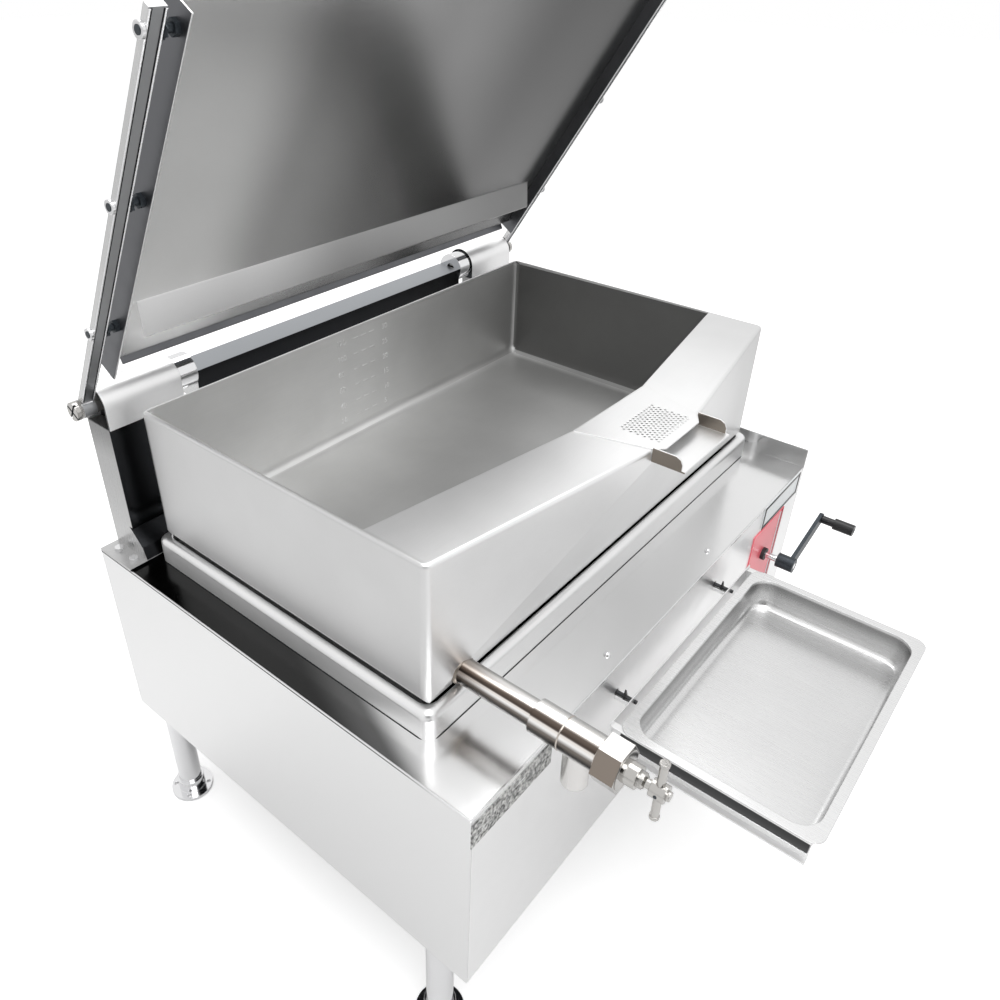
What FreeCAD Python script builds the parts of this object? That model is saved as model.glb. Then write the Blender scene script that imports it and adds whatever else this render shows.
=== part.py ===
import FreeCAD, Part
import math
import os
import re

import Sketcher

# Tilting skillet: a rectangular pan that tips forward over an open housing, with a hinged lid,
# a draw-off valve, a hand crank and a catering pan on rails. Sizes are in millimetres.
# X is the width, the front faces -Y, and the floor is at Z 0 under the middle of the four legs.

SIZES = {
    # housing
    "deck_top": 652, "skirt_bottom": 241, "sheet": 3,
    "curb_height": 45,
    "trim_width": 191, "trim_drop": 10, "trim_height": 48, "trim_thick": 1.5,
    "slot_width": 34, "slot_height": 8, "slot_side": 92, "slot_drop": 13,
    # legs and base rails
    "leg_inset": 30, "leg_setback": 82, "leg_radius": 24.15, "leg_wall": 3,
    "foot_radius": 45, "foot_thick": 8, "foot_collar_radius": 29, "foot_collar_height": 30,
    "foot_pitch_radius": 36, "foot_hole_radius": 4.5, "leg_fit": 0.15,
    "rail_size": 50, "rail_wall": 4,
    # pan and the margins of the housing round it
    "pan_inset": 73, "pan_outset": 44, "pan_setback": 144, "pan_gap": 60,
    "pan_width": 1070, "pan_depth": 650, "pan_height": 254, "pan_wall": 8,
    "pan_corner": 14, "pan_edge": 10, "pan_cove": 25, "rim_round": 6,
    "flare_tip": 150, "flare_reach": 78, "flare_drop": 231, "deck_skin": 3,
    "open_side": 120, "open_left": 110, "open_left_back": 55, "open_right": 115, "open_right_back": 50,
    # spout and strainer
    "spout_width": 160, "spout_reach": 137, "spout_floor": 238, "spout_sheet": 3,
    "cheek_reach": 131, "cheek_top": 260, "cheek_round": 12,
    "strainer_thick": 2, "strainer_front": 79, "tab_reach": 92, "tab_left": 60, "tab_right": 53,
    "hole_radius": 2.2, "hole_pitch": 9.2, "hole_columns": 12, "hole_rows": 12,
    "hole_line": 6.4, "hole_left": 50, "hole_front": 72,
    "window_left": 63, "window_width": 138, "window_front": 66, "window_depth": 108,
    # rounded collar of the deck opening
    "collar_side": 13, "collar_front": 16, "collar_width": 17, "collar_gap": 7, "collar_round": 13,
    "collar_inner_round": 3.5, "collar_corner": 20, "collar_sheet": 2, "collar_crown": 13,
    # lid hinge
    "hinge_clear": 83, "hinge_up": 253, "shaft_radius": 10.5, "shaft_over": 13, "shaft_fit": 0.3,
    "shaft_square": 21.5, "cap_radius": 17, "cap_thick": 9, "cap_slot": 4,
    "column_out": 36, "column_width": 100, "column_depth": 70, "column_wall": 4, "column_top": 212,
    "gusset_top": 4, "gusset_step": 60, "knee_in": 8, "knee_z": -31, "toe_in": 2,
    "foot_plate_thick": 5, "foot_plate_clear": 5,
    "bolt_head": 8, "bolt_head_height": 6, "bolt_inset": 22,
    "hood_width": 152, "hood_radius": 37, "hood_wall": 4, "hood_open": 24, "bush_radius": 20,
    "sleeve_width": 39, "sleeve_radius": 33, "beam_depth": 64, "beam_top": 255, "beam_height": 62,
    "beam_wall": 3, "spring_radius": 31,
    # lid, drawn closed and turned open about its hinge
    "lid_open_angle": 57, "lid_over": 17.5, "lid_rear_over": 5, "lid_front_over": 11, "lid_top": 35,
    "skirt_drop": 15, "skirt_rise": 10, "lid_sheet": 2.5, "liner_rise": 10, "liner_thick": 2,
    "rim_inset": 9, "rim_low": 3, "rim_fold": 18, "rim_lean": 10, "rim_sheet": 2.5,
    "drip_top": 231, "drip_low": 184, "drip_drop": 24, "drip_sheet": 3, "drip_inset": 16,
    "arm_clear": 2, "arm_width": 24, "arm_drop": 1.5, "arm_rise": 8.5, "arm_boss": 17,
    "arm_bolt_first": 198, "arm_bolt_pitch": 260, "arm_bolt_end": 30, "arm_bolt_radius": 3.5,
    "arm_bolt_head": 10, "arm_head_thick": 5, "arm_spacer": 6, "arm_nut": 18, "arm_nut_thick": 8,
    "handle_length": 640, "handle_radius": 10, "handle_out": 48, "handle_rise": 23, "handle_post": 7,
    # tilting gear under the front of the deck
    "tilt_shaft_radius": 15, "shaft_start_over": 64, "shaft_end_over": 37, "arm_plate": 12,
    "arm_aside": 16, "hub_wall": 9, "arm_down": 155, "arm_floor": 37, "arm_seat": 17,
    "arm_lift_depth": 38, "arm_neck": 20, "casing_depth": 30, "casing_front": 20,
    "casing_margin": 12, "casing_sheet": 2, "block_width": 46, "block_depth": 46,
    "block_drop": 80, "bearing_fit": 0.3,
    "element_radius": 5, "element_pitch": 55, "element_count": 9, "element_inset": 70,
    "element_drop": 5, "insulation_thick": 12,
    # worm wheel, worm, spur pair and crank
    "gear_inset": 122, "wheel_front": 1, "wheel_above": 12, "wheel_radius": 25, "wheel_width": 16, 
    "wheel_teeth": 30, "tooth_depth": 2.5,
    "worm_radius": 14, "worm_core": 11, "worm_gap": 0.5, "worm_pitch": 5,
    "spur_radius": 32, "spur_teeth": 30, "spur_width": 12, "spur_gap": 0.6, "spur_back": 62,
    "spindle_radius": 7, "bracket_at": 100, "bracket_thick": 8, "bracket_width": 84,
    "crank_shaft_radius": 9, "flange_radius": 14, "flange_thick": 8,
    "crank_stand": 37, "crank_hub_radius": 16, "crank_hub_length": 37,
    "crank_reach": 160, "crank_angle": 14, "crank_arm_width": 26, "crank_arm_thick": 8,
    "crank_arm_seat": 5, "grip_pin_radius": 5, "grip_radius": 13, "grip_neck_radius": 9,
    "grip_neck": 27, "grip_length": 43, "grip_fit": 0.3,
    # draw-off valve at the front left of the pan
    "drain_x": 72, "drain_z": 23, "drain_radius": 20.5, "drain_bore": 17, "drain_reach": 143,
    "valve_radius": 26, "chamber_radius": 21.5, "chamber_wall": 8, "valve_reach": 250,
    "outlet_at": 212, "outlet_radius": 20, "outlet_bore": 16.5, "outlet_drop": 80,
    "nut_flats": 63, "nut_length": 35, "nut_bore": 12,
    "stem_radius": 7, "stem_end": 350, "packing_radius": 17, "packing_length": 20,
    "plug_length": 10, "plug_fit": 0.5, "plug_at": 14, "wing_at": 334, "wing_span": 54,
    "wing_radius": 6, "wing_hub": 13, "wing_hub_length": 22,
    # catering pan and its carrier
    "tray_offset": 30, "tray_width": 530, "tray_depth": 325, "tray_height": 65, "tray_clear": 45,
    "tray_rim_z": -118, "tray_rim": 14, "tray_rim_thick": 2, "tray_wall": 2, "tray_corner": 40,
    "tray_rim_corner": 22, "tray_base_round": 16, "slide_gap": 0.3,
    "runner_height": 48, "runner_sheet": 2, "runner_depth": 13, "runner_short": 14,
    "hanger_clear": 13, "hanger_top": 6, "peg_radius": 3.5, "peg_over": 6, "peg_below": 9,
    "peg_left_in": 76, "peg_right_in": 85, "peg_hole": 6, "peg_fit": 0.3, "peg_bury": 20,
    "strut_width": 10, "strut_height": 8, "strut_clear": 1,
    # controls on the front panel
    "panel_side": 78, "panel_width": 158, "panel_top": 121, "panel_height": 250, "panel_thick": 2,
    "plate_side": 48, "plate_width": 190, "plate_top": 61, "plate_height": 54, "plate_thick": 1.5,
    "knob_side": 38, "switch_side": 37, "control_drop": 325, "knob_radius": 21, "knob_length": 22,
    "switch_width": 18, "switch_height": 28, "switch_frame": 4, "rocker_height": 7,
    "rocker_pivot": 1.75,
    # domed deck screws
    "screw_back": 27, "screw_radius": 6,
}

# Places that many pieces share, as expressions of the sizes.
BODY_WIDTH = "(pan_inset + pan_width + pan_outset)"
BODY_DEPTH = "(pan_setback + pan_depth + hinge_clear + hood_radius)"
BODY_LEFT = f"(-{BODY_WIDTH} / 2)"
BODY_FRONT = f"(-{BODY_DEPTH} / 2)"
BODY_RIGHT = f"({BODY_WIDTH} / 2)"
BODY_REAR = f"({BODY_DEPTH} / 2)"
LEG_X = f"({BODY_RIGHT} - leg_inset)"
LEG_Y = f"({BODY_REAR} - leg_setback)"
PAN_X = f"({BODY_LEFT} + pan_inset)"
PAN_Y = f"({BODY_FRONT} + pan_setback)"
PAN_Z = "(deck_top + pan_gap)"
MIDDLE_X = f"({PAN_X} + pan_width / 2)"
HINGE_Y = f"({PAN_Y} + pan_depth + hinge_clear)"
HINGE_Z = f"({PAN_Z} + hinge_up)"
LID_REAR = "(hinge_clear - lid_rear_over)"
LID_FRONT = "(pan_depth + hinge_clear + lid_front_over)"
ARM_GAP = "(column_out + arm_clear)"
TILT_Y = f"({BODY_FRONT} + sheet + wheel_radius + wheel_front)"
TILT_Z = "(deck_top - sheet - wheel_radius - wheel_above)"
WORM_Z = f"({TILT_Z} - wheel_radius - worm_radius - worm_gap)"
CRANK_Z = f"({WORM_Z} - 2 * spur_radius - spur_gap)"
GEAR_X = f"({PAN_X} + pan_width - gear_inset)"
DRAIN_X = f"({PAN_X} + drain_x)"
DRAIN_Z = f"({PAN_Z} + drain_z)"
RIM_Z = f"({PAN_Z} + tray_rim_z)"
TRAY_X = f"({MIDDLE_X} - tray_width / 2 - tray_offset)"
TRAY_BACK = f"({BODY_FRONT} - tray_clear)"
HANGER_Y = f"({TRAY_BACK} + hanger_clear)"
PEG_Z = f"({RIM_Z} - peg_below)"
PEG_LEFT = f"({TRAY_X} + peg_left_in)"
PEG_RIGHT = f"({TRAY_X} + tray_width - peg_right_in)"

AXES = {
    "X": FreeCAD.Rotation(FreeCAD.Vector(0, 1, 0), 90),
    "Z": FreeCAD.Rotation(),
    "-Z": FreeCAD.Rotation(FreeCAD.Vector(1, 0, 0), 180),
    "-Y": FreeCAD.Rotation(FreeCAD.Vector(1, 0, 0), 90),
}

doc = FreeCAD.newDocument("TiltingSkillet")
sheet = doc.addObject("Spreadsheet::Sheet", "dim")
for row, (alias, number) in enumerate(SIZES.items(), 1):
    sheet.set(f"A{row}", alias)
    sheet.set(f"B{row}", str(number))
    sheet.setAlias(f"B{row}", alias)
doc.recompute()

nodes = []


def terms(text):
    """An expression in plain size names, written for the sheet."""
    return re.sub(r"[a-z][a-z_]+", lambda word: f"dim.{word.group()}" if word.group() in SIZES
                  else word.group(), str(text))


def size(alias):
    return float(sheet.get(alias))


def bind(obj, **properties):
    for name, text in properties.items():
        obj.setExpression(name, terms(text))
    return obj


def place(obj, x, y, z):
    for axis, text in (("x", x), ("y", y), ("z", z)):
        obj.setExpression(f"Placement.Base.{axis}", terms(text))
    return obj


def box(x, y, z, length, width, height):
    block = doc.addObject("Part::Box", "block")
    return place(bind(block, Length=length, Width=width, Height=height), x, y, z)


def rod(axis, x, y, z, radius, length):
    """A cylinder that starts at x, y, z and runs along the named axis."""
    cylinder = doc.addObject("Part::Cylinder", "rod")
    cylinder.Placement.Rotation = AXES[axis]
    return place(bind(cylinder, Radius=radius, Height=length), x, y, z)


def hexagon(axis, x, y, z, across_flats, length):
    prism = doc.addObject("Part::Prism", "hexagon")
    prism.Polygon = 6
    prism.Placement.Rotation = AXES[axis]
    return place(bind(prism, Circumradius=f"({across_flats}) / 1.732", Height=length), x, y, z)


def dome(x, y, z, radius):
    ball = doc.addObject("Part::Sphere", "dome")
    ball.Angle1 = 0
    return place(bind(ball, Radius=radius), x, y, z)


def fuse(*pieces):
    union = doc.addObject("Part::MultiFuse", "union")
    union.Shapes = list(pieces)
    return union


def cut(base, *tools):
    result = doc.addObject("Part::Cut", "cut")
    result.Base = base
    result.Tool = tools[0] if len(tools) == 1 else fuse(*tools)
    return result


def group(*pieces):
    """Separate solids that share one node."""
    compound = doc.addObject("Part::Compound", "group")
    compound.Links = list(pieces)
    return compound


def common(first, second):
    result = doc.addObject("Part::Common", "common")
    result.Base = first
    result.Tool = second
    return result


def tube(axis, x, y, z, radius, bore, length):
    return cut(rod(axis, x, y, z, radius, length), rod(axis, x, y, z, bore, length))


def rounded(base, *rules):
    """Fillets: each rule is a radius and a test that picks its edges."""
    doc.recompute()
    fillet = doc.addObject("Part::Fillet", "rounded")
    fillet.Base = base
    edges = []
    for number, edge in enumerate(base.Shape.Edges, 1):
        for radius, wanted in rules:
            if wanted(edge):
                edges.append((number, radius, radius))
                break
    fillet.Edges = edges
    return fillet


def upright(edge):
    return abs(edge.BoundBox.ZLength - edge.Length) < 0.01


def at_bottom_of(shape_owner):
    doc.recompute()
    level = shape_owner.Shape.BoundBox.ZMin
    return lambda edge: edge.BoundBox.ZMax < level + 0.01


def at_top_of(shape_owner):
    doc.recompute()
    level = shape_owner.Shape.BoundBox.ZMax
    return lambda edge: edge.BoundBox.ZMin > level - 0.01


def outline(plane, points, start, depth):
    """A body padded from an outline of straight runs, each corner tied to the sheet."""
    body = doc.addObject("PartDesign::Body", "body")
    sketch = body.newObject("Sketcher::SketchObject", "outline")
    base = next(item for item in body.Origin.OriginFeatures if item.Role == f"{plane}_Plane")
    sketch.AttachmentSupport = [(base, "")]
    sketch.MapMode = "FlatFace"
    turn = 2 * math.pi / len(points)
    corners = [FreeCAD.Vector(100 * math.cos(turn * k), 100 * math.sin(turn * k), 0)
               for k in range(len(points))]
    for k, corner in enumerate(corners):
        sketch.addGeometry(Part.LineSegment(corner, corners[(k + 1) % len(corners)]), False)
    for k in range(len(points)):
        sketch.addConstraint(Sketcher.Constraint("Coincident", k, 2, (k + 1) % len(points), 1))
    for k, (u, v) in enumerate(points):
        for kind, text, now in (("DistanceX", u, corners[k].x), ("DistanceY", v, corners[k].y)):
            number = sketch.addConstraint(Sketcher.Constraint(kind, -1, 1, k, 1, now))
            sketch.setExpression(f"Constraints[{number}]", terms(text))
    pad = body.newObject("PartDesign::Pad", "pad")
    pad.Profile = sketch
    bind(pad, Length=depth)
    axis = {"XY": "z", "YZ": "x", "XZ": "y"}[plane]
    body.setExpression(f"Placement.Base.{axis}", terms(start))
    return body


def part(label, obj):
    """Names a finished piece, which becomes the node of that name."""
    obj.Label = label
    nodes.append(obj)
    return obj


# Housing panels

def housing():
    inside_width = f"({BODY_WIDTH} - 2 * sheet)"
    panel_height = "(deck_top - sheet - skirt_bottom)"
    collar_x = f"({PAN_X} - collar_side + collar_width)"
    collar_y = f"({PAN_Y} - collar_front + collar_width)"
    deck = box(BODY_LEFT, BODY_FRONT, "deck_top - sheet", f"{BODY_WIDTH} - sheet", BODY_DEPTH,
               "sheet")
    opening = box(collar_x, collar_y, "deck_top - 2 * sheet",
                  "pan_width + 2 * collar_side - 2 * collar_width",
                  "pan_depth + collar_front + collar_side - 2 * collar_width", "3 * sheet")
    part("deck_plate", cut(deck, opening))

    part("side_panel_left", box(BODY_LEFT, BODY_FRONT, "skirt_bottom", "sheet", BODY_DEPTH,
                                panel_height))
    part("side_panel_right", box(f"{BODY_RIGHT} - sheet", BODY_FRONT, "skirt_bottom", "sheet",
                                 BODY_DEPTH, "deck_top + curb_height - skirt_bottom"))

    face = box(f"{BODY_LEFT} + sheet", BODY_FRONT, "skirt_bottom", inside_width, "sheet", panel_height)
    holes = [rod("-Y", GEAR_X, f"{BODY_FRONT} + 2 * sheet", CRANK_Z, "crank_shaft_radius + 4",
                 "3 * sheet")]
    for peg_x in (PEG_LEFT, PEG_RIGHT):
        holes.append(rod("-Y", peg_x, f"{BODY_FRONT} + 2 * sheet", PEG_Z, "peg_hole", "3 * sheet"))
    part("front_panel", cut(face, *holes))
    part("rear_panel", box(f"{BODY_LEFT} + sheet", f"{BODY_REAR} - sheet", "skirt_bottom",
                           inside_width, "sheet", panel_height))

    trim = box(BODY_LEFT, f"{BODY_FRONT} - trim_thick", "deck_top - trim_drop - trim_height",
               "trim_width", "trim_thick", "trim_height")
    slot = box(f"{BODY_LEFT} + slot_side", f"{BODY_FRONT} - 2 * trim_thick",
               "deck_top - trim_drop - slot_drop - slot_height", "slot_width", "3 * trim_thick",
               "slot_height")
    part("front_trim", cut(trim, slot))

    part("deck_screws", group(*[dome(x, f"{BODY_FRONT} + screw_back", "deck_top", "screw_radius")
                                for x in (PEG_LEFT, PEG_RIGHT)]))


# Rounded collar of the deck opening

def deck_collar():
    x = f"({PAN_X} - collar_side)"
    y = f"({PAN_Y} - collar_front)"
    width = "(pan_width + 2 * collar_side)"
    depth = "(pan_depth + collar_front + collar_side)"
    height = "(pan_gap - collar_gap)"
    block = rounded(box(x, y, "deck_top", width, depth, height), (size("collar_corner"), upright))
    inner = rounded(box(f"{x} + collar_width", f"{y} + collar_width", "deck_top - 1",
                        f"{width} - 2 * collar_width", f"{depth} - 2 * collar_width",
                        f"{height} + 2"), (size("collar_corner"), upright))
    ring = cut(block, inner)
    top_edge = at_top_of(ring)
    reach = ring.Shape.BoundBox

    def outside(edge):
        box_of = edge.BoundBox
        return min(box_of.XMin - reach.XMin, reach.XMax - box_of.XMax,
                   box_of.YMin - reach.YMin, reach.YMax - box_of.YMax) < 0.1

    bead = rounded(ring, (size("collar_round"), lambda edge: top_edge(edge) and outside(edge)),
                   (size("collar_inner_round"), top_edge))
    groove_out = box(f"{x} + collar_sheet", f"{y} + collar_sheet", "deck_top - 1",
                     f"{width} - 2 * collar_sheet", f"{depth} - 2 * collar_sheet",
                     f"{height} - collar_crown")
    keep = "(collar_width - collar_sheet)"
    groove_in = box(f"{x} + {keep}", f"{y} + {keep}", "deck_top - 1", f"{width} - 2 * {keep}",
                    f"{depth} - 2 * {keep}", f"{height} - collar_crown")
    doc.recompute()
    groove = cut(rounded(groove_out, (size("collar_corner") - size("collar_sheet"), upright)), groove_in)
    part("deck_collar", cut(bead, groove))


# Base rails, legs and feet

def square_tube(x, y, z, length, width, height, along):
    outer = box(x, y, z, length, width, height)
    if along == "x":
        inner = box(f"{x} - 1", f"{y} + rail_wall", f"{z} + rail_wall", f"{length} + 2",
                    f"{width} - 2 * rail_wall", f"{height} - 2 * rail_wall")
    else:
        inner = box(f"{x} + rail_wall", f"{y} - 1", f"{z} + rail_wall", f"{length} - 2 * rail_wall",
                    f"{width} + 2", f"{height} - 2 * rail_wall")
    return cut(outer, inner)


def base():
    inside = f"({BODY_FRONT} + sheet)"
    depth = f"({BODY_DEPTH} - 2 * sheet)"
    rails = [square_tube(f"({side} * {LEG_X} - rail_size / 2)", inside, "skirt_bottom", "rail_size",
                         depth, "rail_size", "y") for side in (-1, 1)]
    rails += [square_tube(f"(rail_size / 2 - {LEG_X})", y, "skirt_bottom",
                          f"(2 * {LEG_X} - rail_size)", "rail_size", "rail_size", "x")
              for y in (inside, f"({BODY_REAR} - sheet - rail_size)")]
    part("base_frame", group(*rails))
    corners = (("front_left", -1, -1), ("front_right", 1, -1), ("rear_left", -1, 1),
               ("rear_right", 1, 1))
    for name, side, end in corners:
        x = f"({side} * {LEG_X})"
        y = f"({end} * {LEG_Y})"
        post = tube("Z", x, y, "foot_thick", "leg_radius", "leg_radius - leg_wall",
                    "skirt_bottom - foot_thick")
        flange = rod("Z", x, y, "0", "foot_radius", "foot_thick")
        collar = rod("Z", x, y, "0", "foot_collar_radius", "foot_thick + foot_collar_height")
        socket = rod("Z", x, y, "foot_thick", "leg_radius + leg_fit", "foot_collar_height + 1")
        bolts = [rod("Z", f"{x} + {sx} * foot_pitch_radius * 0.70711",
                     f"{y} + {sy} * foot_pitch_radius * 0.70711", "-1", "foot_hole_radius",
                     "foot_thick + 2") for sx in (-1, 1) for sy in (-1, 1)]
        part(f"leg_{name}", group(post, cut(fuse(flange, collar), socket, *bolts)))


# Lid columns with their gussets, plates, bolts, hoods, sleeves and the beam between them

def lid_columns():
    back = f"({HINGE_Y} + hood_radius - column_depth)"
    rear = f"({HINGE_Y} + hood_radius)"
    plate_top = "(deck_top + foot_plate_thick)"
    plate_depth = "(hinge_clear + hood_radius - collar_side - foot_plate_clear)"
    toe = f"({plate_depth} - toe_in)"
    bolts = []
    springs = []
    sleeves = []
    for name in ("left", "right"):
        if name == "left":
            x = f"({PAN_X} - column_out)"
            plate_x = BODY_LEFT
            plate_width = "(pan_inset - column_out + column_width)"
            bolt_x = f"({BODY_LEFT} + bolt_inset)"
            hood_x = x
            sleeve_x = f"({x} + hood_width)"
        else:
            x = f"({PAN_X} + pan_width + column_out - column_width)"
            bolt_x = f"({x} - bolt_inset)"
            hood_x = f"({x} + column_width - hood_width)"
            sleeve_x = f"({hood_x} - sleeve_width)"
            plate_x = f"({x} - 2 * bolt_inset)"
            plate_width = "(column_width + 2 * bolt_inset)"
        post = box(x, back, f"{PAN_Z} + gusset_top", "column_width", "column_depth",
                   "column_top - gusset_top")
        hollow = box(f"{x} + column_wall", f"{back} + column_wall", f"{PAN_Z} + gusset_top - 1",
                     "column_width - 2 * column_wall", "column_depth - 2 * column_wall",
                     "column_top - gusset_top - column_wall + 1")
        column = cut(post, hollow)

        outer = [(rear, plate_top), (rear, f"{PAN_Z} + gusset_top"),
                 (f"{rear} - gusset_step", f"{PAN_Z} + gusset_top"),
                 (f"{rear} - {toe} + knee_in", f"{PAN_Z} + knee_z"), (f"{rear} - {toe}", plate_top)]
        wall = "column_wall"
        inner = [(f"{rear} - {wall}", f"{plate_top} - 1"),
                 (f"{rear} - {wall}", f"{PAN_Z} + gusset_top - {wall}"),
                 (f"{rear} - gusset_step + {wall}", f"{PAN_Z} + gusset_top - {wall}"),
                 (f"{rear} - {toe} + knee_in + {wall}", f"{PAN_Z} + knee_z"),
                 (f"{rear} - {toe} + {wall}", f"{plate_top} - 1")]
        gusset = cut(outline("YZ", outer, x, "column_width"),
                     outline("YZ", inner, f"{x} + {wall}", f"column_width - 2 * {wall}"))

        plate = box(plate_x, f"{rear} - {plate_depth}", "deck_top", plate_width, plate_depth,
                    "foot_plate_thick")
        bolt_ys = (f"({rear} - bolt_inset - 8)", f"({rear} - {plate_depth} + bolt_inset)")
        part(f"lid_column_{name}", group(column, gusset, plate))
        bolts += [hexagon("Z", bolt_x, y, plate_top, "2 * bolt_head", "bolt_head_height")
                  for y in bolt_ys]

        cheeks = box(hood_x, f"{HINGE_Y} - hood_radius", f"{PAN_Z} + column_top", "hood_width",
                     "2 * hood_radius", "hinge_up - column_top")
        crown = rod("X", hood_x, HINGE_Y, HINGE_Z, "hood_radius", "hood_width")
        room = box(f"{hood_x} - 1", f"{HINGE_Y} - hood_radius + hood_wall",
                   f"{PAN_Z} + column_top - 1", "hood_width + 2", "2 * hood_radius - 2 * hood_wall",
                   "hinge_up - column_top + 1")
        vault = rod("X", f"{hood_x} - 1", HINGE_Y, HINGE_Z, "hood_radius - hood_wall",
                    "hood_width + 2")
        bush_x = f"({hood_x} + hood_open)"
        bush_length = "(hood_width - 2 * hood_open)"
        webs = []
        for web_x in (bush_x, f"({bush_x} + {bush_length} - hood_wall)"):
            webs.append(box(web_x, f"{HINGE_Y} - hood_radius + hood_wall", f"{PAN_Z} + column_top",
                            "hood_wall", "2 * hood_radius - 2 * hood_wall",
                            "hinge_up - column_top"))
            webs.append(rod("X", web_x, HINGE_Y, HINGE_Z, "hood_radius - hood_wall", "hood_wall"))
        bore = rod("X", f"{bush_x} - 1", HINGE_Y, HINGE_Z, "bush_radius", f"{bush_length} + 2")
        bush = tube("X", bush_x, HINGE_Y, HINGE_Z, "bush_radius", "shaft_radius + shaft_fit",
                    bush_length)
        shell = cut(fuse(cheeks, crown), room, vault)
        part(f"hinge_hood_{name}", group(cut(fuse(shell, *webs), bore), bush))
        springs.append(tube("X", f"{bush_x} + hood_wall", HINGE_Y, HINGE_Z, "spring_radius",
                            "bush_radius", f"{bush_length} - 2 * hood_wall"))
        sleeves.append(tube("X", sleeve_x, HINGE_Y, HINGE_Z, "sleeve_radius",
                            "shaft_radius + shaft_fit", "sleeve_width"))
    part("column_bolts", group(*bolts))
    part("lid_springs", group(*springs))
    part("hinge_sleeves", group(*sleeves))

    beam_x = f"({PAN_X} - column_out + hood_width + sleeve_width)"
    beam_length = "(pan_width + 2 * column_out - 2 * hood_width - 2 * sleeve_width)"
    beam_y = f"({rear} - beam_depth)"
    beam_z = f"({PAN_Z} + beam_top - beam_height)"
    outer = box(beam_x, beam_y, beam_z, beam_length, "beam_depth", "beam_height")
    inner = box(f"{beam_x} + beam_wall", f"{beam_y} + beam_wall", f"{beam_z} + beam_wall",
                f"{beam_length} - 2 * beam_wall", "beam_depth - 2 * beam_wall",
                "beam_height - 2 * beam_wall")
    part("cross_beam", cut(outer, inner))


# Lid: every piece is drawn closed, with its hinge axis on the X axis, then turned open

def on_hinge(label, obj, x=PAN_X):
    place(obj, x, HINGE_Y, HINGE_Z)
    obj.Placement.Rotation = FreeCAD.Rotation(FreeCAD.Vector(1, 0, 0), -size("lid_open_angle"))
    return part(label, obj)


def square_bar(x, length):
    """The square part of a hinge shaft, upright while the lid stands open."""
    prism = doc.addObject("Part::Prism", "square")
    prism.Polygon = 4
    turn = FreeCAD.Rotation(FreeCAD.Vector(1, 0, 0), size("lid_open_angle") - 45)
    prism.Placement.Rotation = turn.multiply(AXES["X"])
    return place(bind(prism, Circumradius="shaft_square / 1.41421", Height=length), x, "0", "0")


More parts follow.
